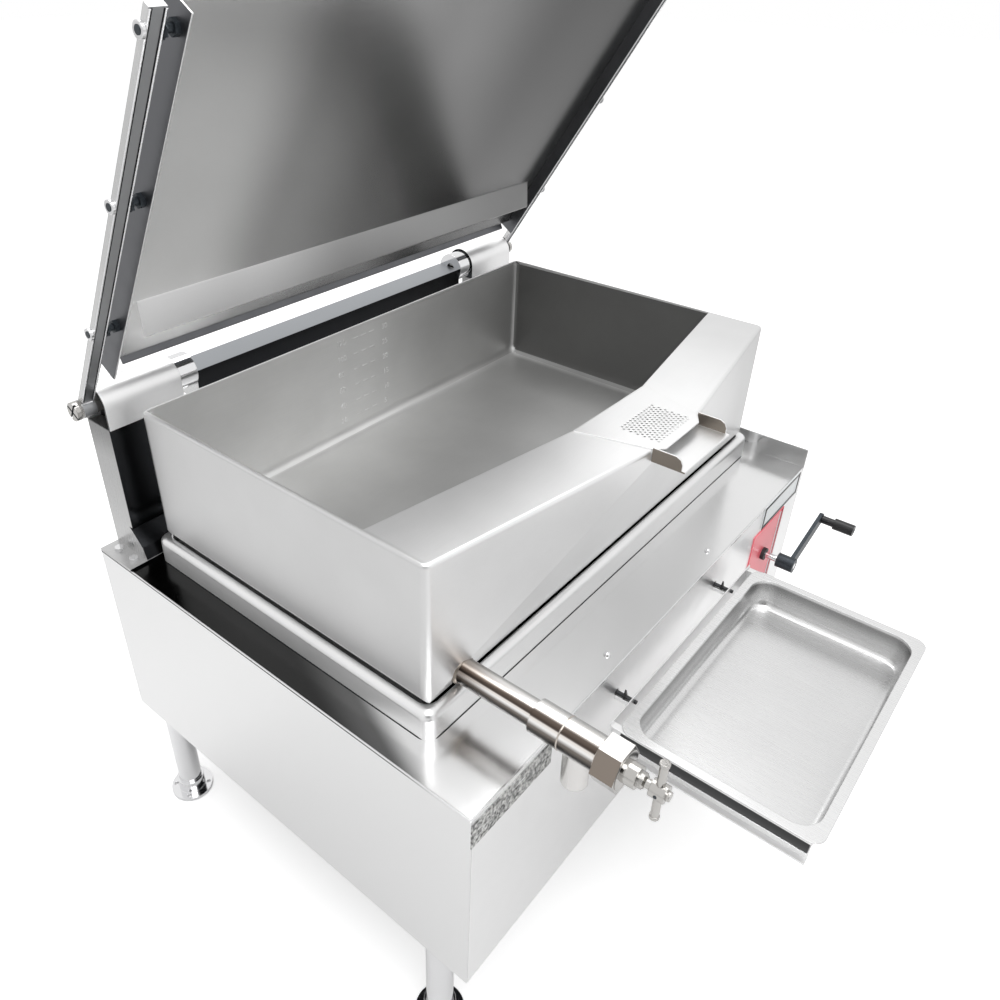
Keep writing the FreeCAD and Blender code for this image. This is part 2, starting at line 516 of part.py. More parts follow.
def lid():
    width = "(pan_width + 2 * lid_over)"
    length = f"({LID_FRONT} - {LID_REAR})"
    outer = box("-lid_over", f"-{LID_FRONT}", "-skirt_drop", width, length, "lid_top + skirt_drop")
    inner = box("-lid_over + lid_sheet", f"-{LID_FRONT} + lid_sheet", "-skirt_drop - 1",
                f"{width} - 2 * lid_sheet", f"{length} - 2 * lid_sheet",
                "lid_top + skirt_drop + 1 - lid_sheet")
    relief = box("-lid_over + lid_sheet", f"-{LID_FRONT} - 1", "-skirt_drop - 1",
                 f"{width} - 2 * lid_sheet", "lid_sheet + 2", "skirt_drop + skirt_rise + 1")
    open_rear = box("-lid_over + lid_sheet", f"-{LID_REAR} - lid_sheet - 1", "-skirt_drop - 1",
                    f"{width} - 2 * lid_sheet", "lid_sheet + 2",
                    "lid_top + skirt_drop + 1 - lid_sheet")
    on_hinge("lid_skin", cut(outer, inner, relief, open_rear))

    sheet_metal = box("-lid_over + lid_sheet", f"-{LID_FRONT} + lid_sheet", "liner_rise",
                      f"{width} - 2 * lid_sheet", f"{length} - lid_sheet - rim_inset - rim_lean",
                      "liner_thick")
    on_hinge("lid_liner", group(sheet_metal))
    low = f"({LID_REAR} + rim_inset)"
    high = f"({low} + rim_lean)"
    rim = [(f"-{low}", "rim_low"), (f"-{high}", "rim_fold"), (f"-{high}", "lid_top - lid_sheet"),
           (f"-{high} + rim_sheet", "lid_top - lid_sheet"), (f"-{high} + rim_sheet", "rim_fold"),
           (f"-{low} + rim_sheet", "rim_low")]
    on_hinge("lid_rear_rim", outline("YZ", rim, "0", "pan_width - 2 * rim_inset"),
             f"{PAN_X} + rim_inset")
    strip = [("-drip_top", "liner_rise"), ("-drip_low", "-drip_drop"),
             ("-drip_low - drip_sheet", "-drip_drop"), ("-drip_top - drip_sheet", "liner_rise")]
    on_hinge("lid_drip_strip", outline("YZ", strip, "0", "pan_width - 2 * drip_inset"),
             f"{PAN_X} + drip_inset")

    for name in ("left", "right"):
        x = f"(-{ARM_GAP} - arm_width)" if name == "left" else f"(pan_width + {ARM_GAP})"
        skirt = "(-lid_over)" if name == "left" else "(pan_width + lid_over)"
        outside = x if name == "left" else f"({x} + arm_width)"
        inside = f"({x} + arm_width)" if name == "left" else x
        gap = f"({ARM_GAP} - lid_over)"
        level = "((arm_rise - arm_drop) / 2)"
        bar = box(x, f"-{LID_FRONT}", "-arm_drop", "arm_width", LID_FRONT, "arm_drop + arm_rise")
        boss = rod("X", x, "0", "0", "arm_boss", "arm_width")
        socket = square_bar(f"{x} - 1", "arm_width + 2")
        bolt_holes = []
        bolts = []
        for reach in ("arm_bolt_first", "(arm_bolt_first + arm_bolt_pitch)",
                      f"({LID_FRONT} - arm_bolt_end)"):
            s = f"(-{reach})"
            bolt_holes.append(rod("X", f"{x} - 1", s, level, "arm_bolt_radius", "arm_width + 2"))
            shank = rod("X", x, s, level, "arm_bolt_radius", "arm_width")
            spacer = rod("X", inside if name == "left" else skirt, s, level, "arm_spacer", gap)
            nut_x = f"({skirt} - arm_nut_thick)" if name == "left" else skirt
            nut = hexagon("X", nut_x, s, level, "arm_nut", "arm_nut_thick")
            head_x = f"({outside} - arm_head_thick)" if name == "left" else outside
            head = rod("X", head_x, s, level, "arm_bolt_head", "arm_head_thick")
            bolts.append(fuse(shank, spacer, nut, head))
        on_hinge(f"arm_bolts_{name}", group(*bolts))
        on_hinge(f"lid_arm_{name}", cut(fuse(bar, boss), socket, *bolt_holes))

        shaft_out = f"({ARM_GAP} + arm_width + shaft_over)"
        reach = f"({shaft_out} - column_out + hood_width + sleeve_width - 5)"
        square = f"({shaft_out} - cap_thick - column_out + hood_open - hood_wall)"
        if name == "left":
            start = cap_x = face_x = f"(-{shaft_out})"
            square_x = f"({cap_x} + cap_thick)"
        else:
            start = f"(pan_width + {shaft_out} - {reach})"
            cap_x = f"(pan_width + {shaft_out} - cap_thick)"
            face_x = f"(pan_width + {shaft_out} - cap_slot)"
            square_x = f"({cap_x} - {square})"
        shaft = fuse(rod("X", start, "0", "0", "shaft_radius", reach), square_bar(square_x, square),
                     rod("X", cap_x, "0", "0", "cap_radius", "cap_thick"))
        slots = [box(face_x, "-cap_radius", "-cap_slot / 2", "cap_slot", "2 * cap_radius", "cap_slot"),
                 box(face_x, "-cap_slot / 2", "-cap_radius", "cap_slot", "cap_slot", "2 * cap_radius")]
        on_hinge(f"hinge_shaft_{name}", cut(shaft, *slots))

    bar_y = f"(-{LID_FRONT} - handle_out)"
    middle = "(pan_width / 2)"
    bar = rod("X", f"{middle} - handle_length / 2", bar_y, "handle_rise", "handle_radius",
              "handle_length")
    posts = [rod("-Y", f"{middle} + {side} * handle_length * 0.42", f"-{LID_FRONT}", "handle_rise",
                 "handle_post", "handle_out") for side in (-1, 1)]
    on_hinge("lid_handle", fuse(bar, *posts))


# Pan shell with its flared front, pouring deck and mouth

def flare(inset, top):
    """The wedge ahead of the front wall, narrowing to the spout and sloping up from the floor."""
    slope = f"(flare_reach / flare_drop * {top})"
    plan = [(f"{PAN_X} + {inset}", f"{PAN_Y} + {inset}"),
            (f"{MIDDLE_X} - flare_tip / 2", f"{PAN_Y} - flare_reach + {inset}"),
            (f"{MIDDLE_X} + flare_tip / 2", f"{PAN_Y} - flare_reach + {inset}"),
            (f"{PAN_X} + pan_width - {inset}", f"{PAN_Y} + {inset}"),
            (f"{PAN_X} + pan_width - {inset}", f"{PAN_Y} + 2 * pan_cove"),
            (f"{PAN_X} + {inset}", f"{PAN_Y} + 2 * pan_cove")]
    side = [(f"{PAN_Y} + {inset}", f"{PAN_Z} + 0.1"),
            (f"{PAN_Y} + {inset} - flare_reach", f"{PAN_Z} + flare_drop"),
            (f"{PAN_Y} + {inset} - flare_reach", f"{PAN_Z} + {top}"),
            (f"{PAN_Y} + 2 * pan_cove", f"{PAN_Z} + {top}"),
            (f"{PAN_Y} + 2 * pan_cove", f"{PAN_Z} + 2 * pan_cove")]
    return common(outline("XY", plan, PAN_Z, top), outline("YZ", side, PAN_X, "pan_width"))


def corner_waste(side):
    """What comes off a front corner, so that the side wall turns smoothly into the slanted front."""
    run = (f"({MIDDLE_X} - flare_tip / 2 - {PAN_X})" if side == "left"
           else f"({PAN_X} + pan_width - {MIDDLE_X} - flare_tip / 2)")
    lean = f"(flare_reach / {run})"
    secant = f"sqrt(1 + {lean} * {lean})"
    touch = f"(pan_corner * (1 - {lean} / {secant}))"
    middle_y = f"({PAN_Y} + pan_corner * ({secant} - {lean}))"
    edge = f"({PAN_X} - 1)" if side == "left" else f"({PAN_X} + pan_width - {touch})"
    centre = f"({PAN_X} + pan_corner)" if side == "left" else f"({PAN_X} + pan_width - pan_corner)"
    block = box(edge, f"{PAN_Y} - pan_corner", f"{PAN_Z} - 1", f"{touch} + 1",
                f"{middle_y} - {PAN_Y} + pan_corner", "pan_height + 2")
    return cut(block, rod("Z", centre, middle_y, f"{PAN_Z} - 2", "pan_corner", "pan_height + 4"))


def pan_shell():
    block = box(PAN_X, PAN_Y, PAN_Z, "pan_width", "pan_depth", "pan_height")
    bottom = at_bottom_of(block)
    back = block.Shape.BoundBox.YMax
    rear_corner = lambda edge: upright(edge) and edge.BoundBox.YMin > back - 1
    body = rounded(block, (size("pan_edge"), bottom), (size("pan_corner"), rear_corner))
    room = box(f"{PAN_X} + pan_wall", f"{PAN_Y} + pan_wall", f"{PAN_Z} + pan_wall",
               "pan_width - 2 * pan_wall", "pan_depth - 2 * pan_wall",
               "pan_height - pan_wall - deck_skin")
    floor = at_bottom_of(room)
    cavity = rounded(room, (size("pan_cove"), floor), (size("pan_corner"), upright))
    top_open = [(f"{PAN_X} + pan_wall", f"{PAN_Y} + open_side"),
                (f"{MIDDLE_X} - open_left", f"{PAN_Y} + open_left_back"),
                (f"{MIDDLE_X} + open_right", f"{PAN_Y} + open_right_back"),
                (f"{PAN_X} + pan_width - pan_wall", f"{PAN_Y} + open_side"),
                (f"{PAN_X} + pan_width - pan_wall", f"{PAN_Y} + pan_depth - pan_wall"),
                (f"{PAN_X} + pan_wall", f"{PAN_Y} + pan_depth - pan_wall")]
    mouth_top = outline("XY", top_open, f"{PAN_Z} + pan_height - 2 * deck_skin", "3 * deck_skin")
    window = box(f"{MIDDLE_X} - window_left", f"{PAN_Y} - window_front",
                 f"{PAN_Z} + pan_height - 2 * deck_skin", "window_width", "window_depth",
                 "3 * deck_skin")
    gate = box(f"{MIDDLE_X} - spout_width / 2 + spout_sheet", f"{PAN_Y} - flare_reach - 5",
               f"{PAN_Z} + spout_floor", "spout_width - 2 * spout_sheet", "30",
               "pan_height - deck_skin - spout_floor")
    drain = rod("-Y", DRAIN_X, f"{PAN_Y} + pan_wall + pan_cove", DRAIN_Z, "drain_radius",
                "pan_wall + pan_cove + 30")
    whole = cut(fuse(body, flare("0", "pan_height")), corner_waste("left"), corner_waste("right"))
    shell = cut(rounded(whole, (size("rim_round"), at_top_of(whole))), cavity,
                flare("pan_wall", "(pan_height - deck_skin)"), mouth_top, window, gate, drain)
    part("pan_shell", shell)


def spout():
    x = f"({MIDDLE_X} - spout_width / 2)"
    front = f"({PAN_Y} - flare_reach)"
    bottom = f"({PAN_Z} + spout_floor - spout_sheet)"
    floor = box(x, f"{PAN_Y} - spout_reach", bottom, "spout_width", "spout_reach - flare_reach",
                "spout_sheet")
    cheeks = []
    for side in ("0", "(spout_width - spout_sheet)"):
        cheek = [(f"{front} - 0", bottom), (f"{PAN_Y} - cheek_reach", bottom),
                 (f"{PAN_Y} - cheek_reach", f"{PAN_Z} + cheek_top - cheek_round"),
                 (f"{PAN_Y} - cheek_reach + cheek_round / 3", f"{PAN_Z} + cheek_top - cheek_round / 3"),
                 (f"{PAN_Y} - cheek_reach + cheek_round", f"{PAN_Z} + cheek_top"),
                 (f"{front}", f"{PAN_Z} + cheek_top")]
        cheeks.append(outline("YZ", cheek, f"{x} + {side}", "spout_sheet"))
    part("spout", fuse(floor, *cheeks))


def strainer():
    top = f"({PAN_Z} + pan_height)"
    plan = [(f"{MIDDLE_X} - open_left", f"{PAN_Y} + open_left_back - 3"),
            (f"{MIDDLE_X} - flare_tip / 2", f"{PAN_Y} - strainer_front"),
            (f"{MIDDLE_X} - tab_left", f"{PAN_Y} - tab_reach"),
            (f"{MIDDLE_X} + tab_right", f"{PAN_Y} - tab_reach"),
            (f"{MIDDLE_X} + flare_tip / 2", f"{PAN_Y} - strainer_front"),
            (f"{MIDDLE_X} + open_right", f"{PAN_Y} + open_right_back - 3")]
    plate = outline("XY", plan, top, "strainer_thick")
    holes = []
    for line in range(int(size("hole_rows"))):
        for column in range(int(size("hole_columns"))):
            across = column + (line % 2) / 2
            holes.append(rod("Z", f"{MIDDLE_X} - hole_left + {across} * hole_pitch",
                             f"{PAN_Y} - hole_front + {line} * hole_line", f"{top} - 1",
                             "hole_radius", "strainer_thick + 2"))
    part("strainer", cut(plate, *holes))


# Heater under the pan

def heater():
    x = f"({PAN_X} + casing_margin)"
    y = f"({PAN_Y} + casing_front)"
    width = "(pan_width - 2 * casing_margin)"
    depth = "(pan_depth - 2 * casing_front)"
    tray = box(x, y, f"{PAN_Z} - casing_depth", width, depth, "casing_depth")
    room = box(f"{x} + casing_sheet", f"{y} + casing_sheet", f"{PAN_Z} - casing_depth + casing_sheet",
               f"{width} - 2 * casing_sheet", f"{depth} - 2 * casing_sheet", "casing_depth")
    slab = box(f"{x} + casing_sheet", f"{y} + casing_sheet", f"{PAN_Z} - casing_depth + casing_sheet",
               f"{width} - 2 * casing_sheet", f"{depth} - 2 * casing_sheet", "insulation_thick")
    part("heater_casing", group(cut(tray, room), slab))
    bars = []
    length = f"({width} - 2 * element_inset)"
    count = int(size("element_count"))
    for number in range(count):
        bars.append(rod("X", f"{x} + element_inset", f"{y} + element_inset + {number} * element_pitch",
                        f"{PAN_Z} - element_drop", "element_radius", length))
    for number in range(count - 1):
        side = "element_inset" if number % 2 else f"(element_inset + {length} - 2 * element_radius)"
        bars.append(box(f"{x} + {side}", f"{y} + element_inset + {number} * element_pitch",
                        f"{PAN_Z} - element_drop - element_radius", "2 * element_radius",
                        "element_pitch", "2 * element_radius"))
    part("heating_element", fuse(*bars))


# Shaft under the deck and the two gooseneck arms that carry the pan

def tilting_gear():
    arms = {"left": f"({PEG_LEFT} - block_width / 2 - arm_aside - arm_plate)",
            "right": f"({PEG_RIGHT} + block_width / 2 + arm_aside)"}
    start = f"({arms['left']} - shaft_start_over)"
    part("tilt_shaft", rod("X", start, TILT_Y, TILT_Z, "tilt_shaft_radius",
                           f"{GEAR_X} + shaft_end_over - {start}"))
    under = f"({PAN_Z} - casing_depth)"
    lift = f"({PAN_Y} + casing_front + arm_seat)"
    for name, x in arms.items():
        neck = [(f"{TILT_Y} - arm_neck", TILT_Z), (f"{TILT_Y} - arm_neck", f"{TILT_Z} - arm_down"),
                (f"{lift} + arm_lift_depth", f"{TILT_Z} - arm_down"),
                (f"{lift} + arm_lift_depth", under), (lift, under),
                (lift, f"{TILT_Z} - arm_down + arm_floor"),
                (f"{TILT_Y} + arm_neck", f"{TILT_Z} - arm_down + arm_floor"),
                (f"{TILT_Y} + arm_neck", TILT_Z)]
        plate = outline("YZ", neck, x, "arm_plate")
        hub = rod("X", x, TILT_Y, TILT_Z, "tilt_shaft_radius + hub_wall", "arm_plate")
        bore = rod("X", f"{x} - 1", TILT_Y, TILT_Z, "tilt_shaft_radius", "arm_plate + 2")
        part(f"tilt_arm_{name}", cut(fuse(plate, hub), bore))
    for name, peg_x in (("left", PEG_LEFT), ("right", PEG_RIGHT)):
        x = f"({peg_x} - block_width / 2)"
        block = box(x, f"{TILT_Y} - block_depth / 2", "deck_top - sheet - block_drop", "block_width",
                    "block_depth", "block_drop")
        bore = rod("X", f"{x} - 1", TILT_Y, TILT_Z, "tilt_shaft_radius + bearing_fit",
                   "block_width + 2")
        peg_back = f"({BODY_FRONT} + peg_bury)"
        peg = rod("-Y", peg_x, peg_back, PEG_Z, "peg_radius",
                  f"{peg_back} - {HANGER_Y} + peg_over")
        socket = rod("-Y", peg_x, peg_back, PEG_Z, "peg_radius", "peg_bury")
        part(f"bearing_block_{name}", group(cut(block, bore, socket), peg))


# Worm wheel on the tilt shaft, worm, spur pair and crank

def gear_shape(radius, teeth, width, bore):
    """A spur gear with its axis on Z: arcs at the tips and roots, straight flanks."""
    root = radius - size("tooth_depth")
    step = 2 * math.pi / teeth
    points = []
    for number in range(teeth):
        angle = number * step
        for share, reach in ((-0.30, root), (-0.17, radius), (0.17, radius), (0.30, root)):
            points.append(FreeCAD.Vector(reach * math.cos(angle + share * step),
                                         reach * math.sin(angle + share * step), 0))
    blank = Part.Face(Part.makePolygon(points + points[:1])).extrude(FreeCAD.Vector(0, 0, width))
    return blank.cut(Part.makeCylinder(bore, width))


def feature(shape, rotation, x, y, z):
    piece = doc.addObject("Part::Feature", "piece")
    piece.Shape = shape
    piece.Placement = FreeCAD.Placement(FreeCAD.Vector(0, 0, 0), rotation)
    return place(piece, x, y, z)


def crank_drive():
    wheel = gear_shape(size("wheel_radius"), int(size("wheel_teeth")), size("wheel_width"),
                       size("tilt_shaft_radius"))
    part("worm_wheel", feature(wheel, AXES["X"], f"{GEAR_X} - wheel_width / 2", TILT_Y, TILT_Z))
    teeth = int(size("spur_teeth"))
    spur = gear_shape(size("spur_radius"), teeth, size("spur_width"), size("spindle_radius"))
    half_tooth = FreeCAD.Rotation(FreeCAD.Vector(0, 1, 0), 180 / teeth)
    mesh = FreeCAD.Rotation(FreeCAD.Vector(0, 1, 0), 90)
    spur_y = f"({BODY_FRONT} + spur_back + spur_width)"
    worm_spur = feature(spur, mesh.multiply(AXES["-Y"]), GEAR_X, spur_y, WORM_Z)
    crank_spur = feature(spur, half_tooth.multiply(mesh).multiply(AXES["-Y"]), GEAR_X, spur_y,
                         CRANK_Z)

    worm_back = f"({TILT_Y} + wheel_width)"
    worm_length = "(2 * wheel_width)"
    spindle_back = f"({BODY_FRONT} + bracket_at + bracket_thick)"
    spindle = rod("-Y", GEAR_X, spindle_back, WORM_Z, "spindle_radius",
                  f"{spindle_back} - {worm_back} + {worm_length} / 2")
    core = rod("-Y", GEAR_X, f"({TILT_Y} + 0.8 * wheel_width)", WORM_Z, "worm_core",
               "1.6 * wheel_width")
    threads = [rod("-Y", GEAR_X, f"({TILT_Y} + 0.8 * wheel_width - 1 - {number} * worm_pitch)",
                   WORM_Z, "worm_radius", "worm_pitch / 2") for number in range(5)]
    part("worm_shaft", group(fuse(spindle, core, *threads), worm_spur))

    hub_front = f"({BODY_FRONT} - crank_stand - crank_hub_length)"
    shaft_length = f"({spindle_back} - {hub_front})"
    part("crank_shaft", group(rod("-Y", GEAR_X, spindle_back, CRANK_Z, "spindle_radius",
                                  shaft_length), crank_spur))
    bracket_y = f"({BODY_FRONT} + bracket_at)"
    bracket = box(f"{GEAR_X} - bracket_width / 2", bracket_y, f"{CRANK_Z} - 20", "bracket_width",
                  "bracket_thick", f"deck_top - sheet - {CRANK_Z} + 20")
    holes = [rod("-Y", GEAR_X, f"{bracket_y} + 2 * bracket_thick", z, "spindle_radius + bearing_fit",
                 "3 * bracket_thick") for z in (WORM_Z, CRANK_Z)]
    flange_back = f"({BODY_FRONT} - panel_thick)"
    bearing = tube("-Y", GEAR_X, flange_back, CRANK_Z, "flange_radius",
                   "spindle_radius + bearing_fit", "flange_thick")
    part("gear_bearings", group(cut(bracket, *holes), bearing))

    hub_back = f"({BODY_FRONT} - crank_stand)"
    hub = rod("-Y", GEAR_X, hub_back, CRANK_Z, "crank_hub_radius", "crank_hub_length")
    bore = rod("-Y", GEAR_X, f"{hub_back} + 1", CRANK_Z, "spindle_radius", "crank_hub_length + 2")
    angle = size("crank_angle")
    end_x = f"({GEAR_X} + crank_reach * {math.cos(math.radians(angle)):.6f})"
    end_z = f"({CRANK_Z} + crank_reach * {math.sin(math.radians(angle)):.6f})"
    arm_front = f"({hub_front} + crank_arm_seat)"
    arm_back = f"({arm_front} + crank_arm_thick)"
    bar = doc.addObject("Part::Box", "bar")
    bind(bar, Length="crank_reach", Width="crank_arm_thick", Height="crank_arm_width")
    bar.Placement.Rotation = FreeCAD.Rotation(FreeCAD.Vector(0, 1, 0), -angle)
    half = f"(crank_arm_width / 2)"
    place(bar, f"{GEAR_X} + {half} * {math.sin(math.radians(angle)):.6f}",
          arm_front, f"{CRANK_Z} - {half} * {math.cos(math.radians(angle)):.6f}")
    tip = rod("-Y", end_x, arm_back, end_z, half, "crank_arm_thick")
    pin_length = "(grip_neck + grip_length + 1)"
    pin = rod("-Y", end_x, arm_back, end_z, "grip_pin_radius", f"crank_arm_thick + {pin_length}")
    part("crank_arm", fuse(cut(fuse(hub, bar), bore), tip, pin))
    grip_back = f"({arm_front} - grip_fit)"
    neck = rod("-Y", end_x, grip_back, end_z, "grip_neck_radius", "grip_neck")
    knob = rod("-Y", end_x, f"{grip_back} - grip_neck", end_z, "grip_radius", "grip_length")
    pin_hole = rod("-Y", end_x, f"{grip_back} + 1", end_z, "grip_pin_radius + grip_fit",
                   f"{pin_length} + 1 + grip_fit")
    part("crank_grip", cut(fuse(neck, knob), pin_hole))


# Draw-off valve

def draw_off():
    def at(reach):
        return f"({PAN_Y} - {reach})"

    part("drain_tube", cut(rod("-Y", DRAIN_X, f"{PAN_Y} + pan_wall", DRAIN_Z, "drain_radius",
                               "drain_reach + pan_wall"),
                           rod("-Y", DRAIN_X, f"{PAN_Y} + pan_wall + 1", DRAIN_Z, "drain_bore",
                               "drain_reach + pan_wall + 2")))
    sleeve = rod("-Y", DRAIN_X, at("drain_reach"), DRAIN_Z, "valve_radius", "valve_reach - drain_reach")
    pipe = rod("-Z", DRAIN_X, at("outlet_at"), DRAIN_Z, "outlet_radius", "outlet_drop")
    way = rod("-Y", DRAIN_X, f"{at('drain_reach')} + 1", DRAIN_Z, "drain_bore",
              "valve_reach - drain_reach - 5")
    chamber = rod("-Y", DRAIN_X, at("(drain_reach + chamber_wall)"), DRAIN_Z, "chamber_radius",
                  "valve_reach - drain_reach - 2 * chamber_wall")
    drop = rod("-Z", DRAIN_X, at("outlet_at"), DRAIN_Z, "outlet_bore", "outlet_drop + 1")
    stem_hole = rod("-Y", DRAIN_X, f"{at('valve_reach')} + 2 * chamber_wall", DRAIN_Z, "nut_bore",
                    "3 * chamber_wall")
    part("valve_body", cut(fuse(sleeve, pipe), way, chamber, drop, stem_hole))
    nut = hexagon("-Y", DRAIN_X, at("valve_reach"), DRAIN_Z, "nut_flats", "nut_length")
    nut_hole = rod("-Y", DRAIN_X, f"{at('valve_reach')} + 1", DRAIN_Z, "stem_radius + grip_fit",
                   "nut_length + 2")
    nut_end = at("(valve_reach + nut_length)")
    packing = tube("-Y", DRAIN_X, nut_end, DRAIN_Z, "packing_radius", "stem_radius + grip_fit",
                   "packing_length")
    part("valve_nut", group(cut(nut, nut_hole), packing))
    stem = rod("-Y", DRAIN_X, at("plug_at"), DRAIN_Z, "stem_radius", "stem_end - plug_at")
    plug = rod("-Y", DRAIN_X, at("plug_at"), DRAIN_Z, "drain_bore - plug_fit", "plug_length")
    part("valve_stem", fuse(stem, plug))
    bar = rod("Z", DRAIN_X, at("wing_at"), f"{DRAIN_Z} - wing_span", "wing_radius", "2 * wing_span")
    hub = rod("-Y", DRAIN_X, f"{at('wing_at')} + wing_hub_length / 2", DRAIN_Z, "wing_hub",
              "wing_hub_length")
    hole = rod("-Y", DRAIN_X, f"{at('wing_at')} + wing_span", DRAIN_Z, "stem_radius", "2 * wing_span")
    part("valve_handle", cut(fuse(bar, hub), hole))


# Catering pan and its carrier

def catering_pan():
    x = TRAY_X
    y = f"({TRAY_BACK} - tray_depth)"
    low = f"({RIM_Z} - tray_height)"
    tub_x = f"({x} + tray_rim)"
    tub_y = f"({y} + tray_rim)"
    tub_width = "(tray_width - 2 * tray_rim)"
    tub_depth = "(tray_depth - 2 * tray_rim)"
    tub = box(tub_x, tub_y, low, tub_width, tub_depth, "tray_height")
    outer = rounded(tub, (size("tray_base_round"), at_bottom_of(tub)), (size("tray_corner"), upright))
    flange = box(x, y, f"{RIM_Z} - tray_rim_thick", "tray_width", "tray_depth", "tray_rim_thick")
    doc.recompute()
    rim = rounded(flange, (size("tray_rim_corner"), upright))
    well = box(f"{tub_x} + tray_wall", f"{tub_y} + tray_wall", f"{low} + tray_wall",
               f"{tub_width} - 2 * tray_wall", f"{tub_depth} - 2 * tray_wall", "tray_height + 1")
    inner = rounded(well, (size("tray_base_round") - size("tray_wall"), at_bottom_of(well)),
                    (size("tray_corner") - size("tray_wall"), upright))
    part("catering_pan", cut(fuse(outer, rim), inner))

    top = f"({RIM_Z} - tray_rim_thick - slide_gap)"
    start = f"({y} + runner_short)"
    length = f"({HANGER_Y} - runner_sheet - {start})"
    runners = []
    for name in ("left", "right"):
        edge = x if name == "left" else f"({x} + tray_width - runner_depth)"
        web_x = f"({edge} + runner_depth - runner_sheet)" if name == "left" else edge
        web = box(web_x, start, f"{top} - runner_height", "runner_sheet", length, "runner_height")
        upper = box(edge, start, f"{top} - runner_sheet", "runner_depth", length, "runner_sheet")
        lower = box(edge, start, f"{top} - runner_height", "runner_depth", length, "runner_sheet")
        runners.append(fuse(web, upper, lower))
    plate = box(x, f"{HANGER_Y} - runner_sheet", f"{top} - runner_height", "tray_width", "runner_sheet",
                "runner_height + hanger_top")
    struts = []
    for peg_x in (PEG_LEFT, PEG_RIGHT):
        struts.append(box(f"{peg_x} - strut_width / 2", HANGER_Y,
                          f"{PEG_Z} - peg_radius - strut_clear - strut_height", "strut_width",
                          f"{BODY_FRONT} - {HANGER_Y}", "strut_height"))
    peg_holes = [rod("-Y", peg_x, f"{HANGER_Y} + 5", PEG_Z, "peg_radius + peg_fit",
                     "10 + runner_sheet") for peg_x in (PEG_LEFT, PEG_RIGHT)]
    part("pan_carrier", group(cut(fuse(plate, *struts), *peg_holes), *runners))


# Controls

def controls():
    face = BODY_FRONT
    panel = box(f"{GEAR_X} - panel_side", f"{face} - panel_thick",
                f"{PAN_Z} - panel_top - panel_height", "panel_width", "panel_thick", "panel_height")
    crank_hole = rod("-Y", GEAR_X, f"{face} + 5", CRANK_Z, "crank_shaft_radius + 4", "10 + panel_thick")
    plain = cut(panel, crank_hole)
    part("blank_plate", box(f"{GEAR_X} - plate_side", f"{face} - plate_thick",
                            f"{PAN_Z} - plate_top - plate_height", "plate_width", "plate_thick",
                            "plate_height"))
    front = f"({face} - panel_thick)"
    level = f"({PAN_Z} - control_drop)"
    knob_x = f"({GEAR_X} - knob_side)"
    skirt = rod("-Y", knob_x, f"{front} - grip_fit", level, "knob_radius", "knob_length / 3")
    grip = box(f"{knob_x} - knob_radius / 4", f"{front} - knob_length", f"{level} - knob_radius * 0.9",
               "knob_radius / 2", "knob_length * 0.8", "knob_radius * 1.8")
    part("thermostat_knob", fuse(skirt, grip))
    switch_x = f"({GEAR_X} + switch_side)"
    frame = box(f"{switch_x} - switch_width / 2 - switch_frame", f"{front} - 5",
                f"{level} - switch_height / 2 - switch_frame", "switch_width + 2 * switch_frame", "5",
                "switch_height + 2 * switch_frame")
    hollow = box(f"{switch_x} - switch_width / 2", f"{front} - 6", f"{level} - switch_height / 2",
                 "switch_width", "5", "switch_height")
    part("control_panel", group(plain, cut(frame, hollow)))
    rocker = box(f"{switch_x} - switch_width / 2 + grip_fit", f"{front} - rocker_height",
                 f"{level} - switch_height / 2 + 2", "switch_width - 2 * grip_fit",
                 "rocker_height / 2", "switch_height - 4")
    pivot = rod("X", f"{switch_x} - switch_width / 2 + grip_fit", f"{front} - rocker_height * 0.5",
                level, "rocker_pivot", "switch_width - 2 * grip_fit")
    part("power_switch", fuse(rocker, pivot))


housing()
deck_collar()
base()
lid_columns()
lid()
pan_shell()
spout()
strainer()
heater()
tilting_gear()
crank_drive()
draw_off()
catering_pan()
controls()

doc.recompute()
faults = [obj.Name for obj in doc.Objects if "Invalid" in obj.State or "Error" in obj.State]
if faults:
    raise RuntimeError(f"objects that failed: {faults}")
for obj in nodes:
    if obj.Shape.isNull() or not obj.Shape.isValid() or not obj.Shape.Solids:
        raise RuntimeError(f"{obj.Label} has no valid solid")

os.makedirs("parts", exist_ok=True)
for obj in nodes:
    obj.Shape.exportStep(f"parts/{obj.Label}.step")
    print(obj.Label, len(obj.Shape.Solids), round(obj.Shape.Volume))
print(len(nodes), "nodes")
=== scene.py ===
# %% [markdown]
# # A tilting skillet in satin and mirror stainless steel
# The engineering model gives every piece its true shape and place. This lesson dresses it: it sets
# the camera, gives each piece of metal, paint and plastic its own finish, and adds the small
# things a plain solid leaves out, such as weld rings, hemmed edges, level marks and rails.

# %% Load the model
import math

import bmesh
import bpy
from mathutils import Matrix, Vector


